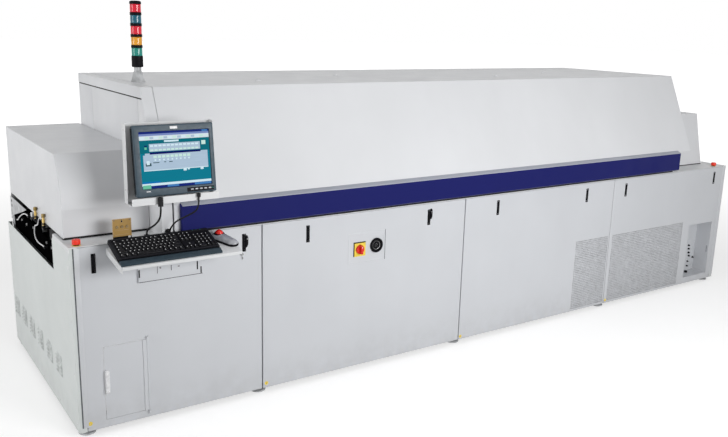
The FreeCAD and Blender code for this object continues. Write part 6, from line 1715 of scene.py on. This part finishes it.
class OVEN_OT_rear(bpy.types.Operator):
    """Quarter-turn fasteners, louvre banks and clamp bands at the back"""
    bl_idname = "oven.rear"
    bl_label = "Rear fittings"

    def execute(self, context):
        face = span("rear_panels")[1].y
        turns = bmesh.new()
        lips = bmesh.new()
        shade_gaps = bmesh.new()
        for number, (left, right) in enumerate(REAR_PANELS):
            for x in (left + 70, (left + right) / 2, right - 70):
                for z in (70, 820):
                    turned(turns, REAR_TURN, (x, face, z), REARWARD, 28)
                    slab(turns, (x - 9, face + 2, z - 1.8), (x + 9, face + 5.6, z + 1.8), 1.0)
            if number in LOUVRED_REAR_PANELS:
                for x in (left + 330, right - 330):
                    self.bank(lips, shade_gaps, x, face)
        piece("rear_fasteners", turns, "black_plastic", "base")
        piece("rear_louvres", lips, "end_paint", "base")
        piece("rear_louvre_shade", shade_gaps, "dark_inside", "base")
        self.spigots(face)
        return {"FINISHED"}

    def bank(self, lips, shade_gaps, x, face):
        """One bank of louvres: a lip for each slot, and behind it a dark slab painted as the shade in its gap."""
        for slot in range(12):
            z = 520 + 20 * slot
            bar(lips, [(face - 0.2, z + 11), (face + 5, z + 8), (face + 7, z + 2), (face + 6, z + 1.6),
                       (face + 4, z + 6.6), (face - 0.2, z + 9.4)], x - 110, x + 110)
            # Painted shade: a dark slab in the louvre's gap
            slab(shade_gaps, (x - 107, face - 0.2, z), (x + 107, face + 0.35, z + 8))

    def spigots(self, face):
        """Clamp bands and flange bolts on the exhaust spigots."""
        bm = bmesh.new()
        for x in SPIGOT_XS:
            turned(bm, CLAMP_BAND, (x, face, SPIGOT_Z), REARWARD, 64)
            slab(bm, (x - 10, face + 45, 675), (x + 10, face + 59, 686), 1.6)
            for step in range(8):
                angle = math.radians(45 * step + 22.5)
                place = (x + FLANGE_RING * math.cos(angle), face, SPIGOT_Z + FLANGE_RING * math.sin(angle))
                turned(bm, FLANGE_BOLT, place, REARWARD, 6)
        piece("spigot_bands", bm, "bright_steel", "base")


FOOT_XS = (-2278, -1433, -163, 1105, 2278)
FOOT_YS = (53, 1248)
FOOT_PAD = [(0, 0), (36, 0), (38, 1.6), (38, 5), (35.4, 8), (18, 9), (0, 9)]


class OVEN_OT_feet(bpy.types.Operator):
    """Levelling feet: rounded pads on steel studs with a locknut"""
    bl_idname = "oven.feet"
    bl_label = "Levelling feet"

    def execute(self, context):
        places = [(x, y, 0) for x in FOOT_XS for y in FOOT_YS]
        turned_piece("foot_pads", "zinc", "base", FOOT_PAD, places, steps=36, slot="foot_rubber",
                     replaces=["leveling_feet"])
        bm = bmesh.new()
        for place in places:
            turned(bm, [(0, 8.5), (10, 8.5), (10, 17.9), (0, 17.9)], place, steps=20)
            turned(bm, [(10, 10), (17, 10), (17, 16.6), (10, 16.6), (10, 10)], place, steps=6)
        piece("foot_studs", bm, "bright_steel", "base")
        return {"FINISHED"}


# ---------------------------------------------------------------- the add-on

CLASSES = [
    OvenSizes, OvenColours, OVEN_OT_stage, OVEN_OT_cords, OVEN_OT_solids, OVEN_OT_latches,
    OVEN_OT_perforated_panels, OVEN_OT_panel_trim, OVEN_OT_switches, OVEN_OT_stops, OVEN_OT_monitor,
    OVEN_OT_screen, OVEN_OT_keyboard, OVEN_OT_trackball, OVEN_OT_tower, OVEN_OT_hood_trim, OVEN_OT_end_frame,
    OVEN_OT_louvres, OVEN_OT_conveyor_ends, OVEN_OT_niche, OVEN_OT_jack_plate, OVEN_OT_rear, OVEN_OT_feet,
]


class OVEN_PT_panel(bpy.types.Panel):
    """Lists the oven's pieces in the sidebar"""
    bl_idname = "OVEN_PT_panel"
    bl_label = "Oven"
    bl_space_type = "VIEW_3D"
    bl_region_type = "UI"
    bl_category = "Oven"

    def draw(self, context):
        for kind in CLASSES:
            if issubclass(kind, bpy.types.Operator):
                self.layout.operator(kind.bl_idname)
        for group in (context.scene.oven_sizes, context.scene.oven_colours):
            for name in group.__annotations__:
                self.layout.prop(group, name)


def register():
    for kind in CLASSES + [OVEN_PT_panel]:
        bpy.utils.register_class(kind)
    bpy.types.Scene.oven_sizes = PointerProperty(type=OvenSizes)
    bpy.types.Scene.oven_colours = PointerProperty(type=OvenColours)


def unregister():
    del bpy.types.Scene.oven_colours
    del bpy.types.Scene.oven_sizes
    for kind in reversed(CLASSES + [OVEN_PT_panel]):
        bpy.utils.unregister_class(kind)


def main():
    register()
    for kind in CLASSES:
        if issubclass(kind, bpy.types.Operator):
            getattr(bpy.ops.oven, kind.bl_idname.split(".")[1])()


if __name__ == "__main__":
    main()
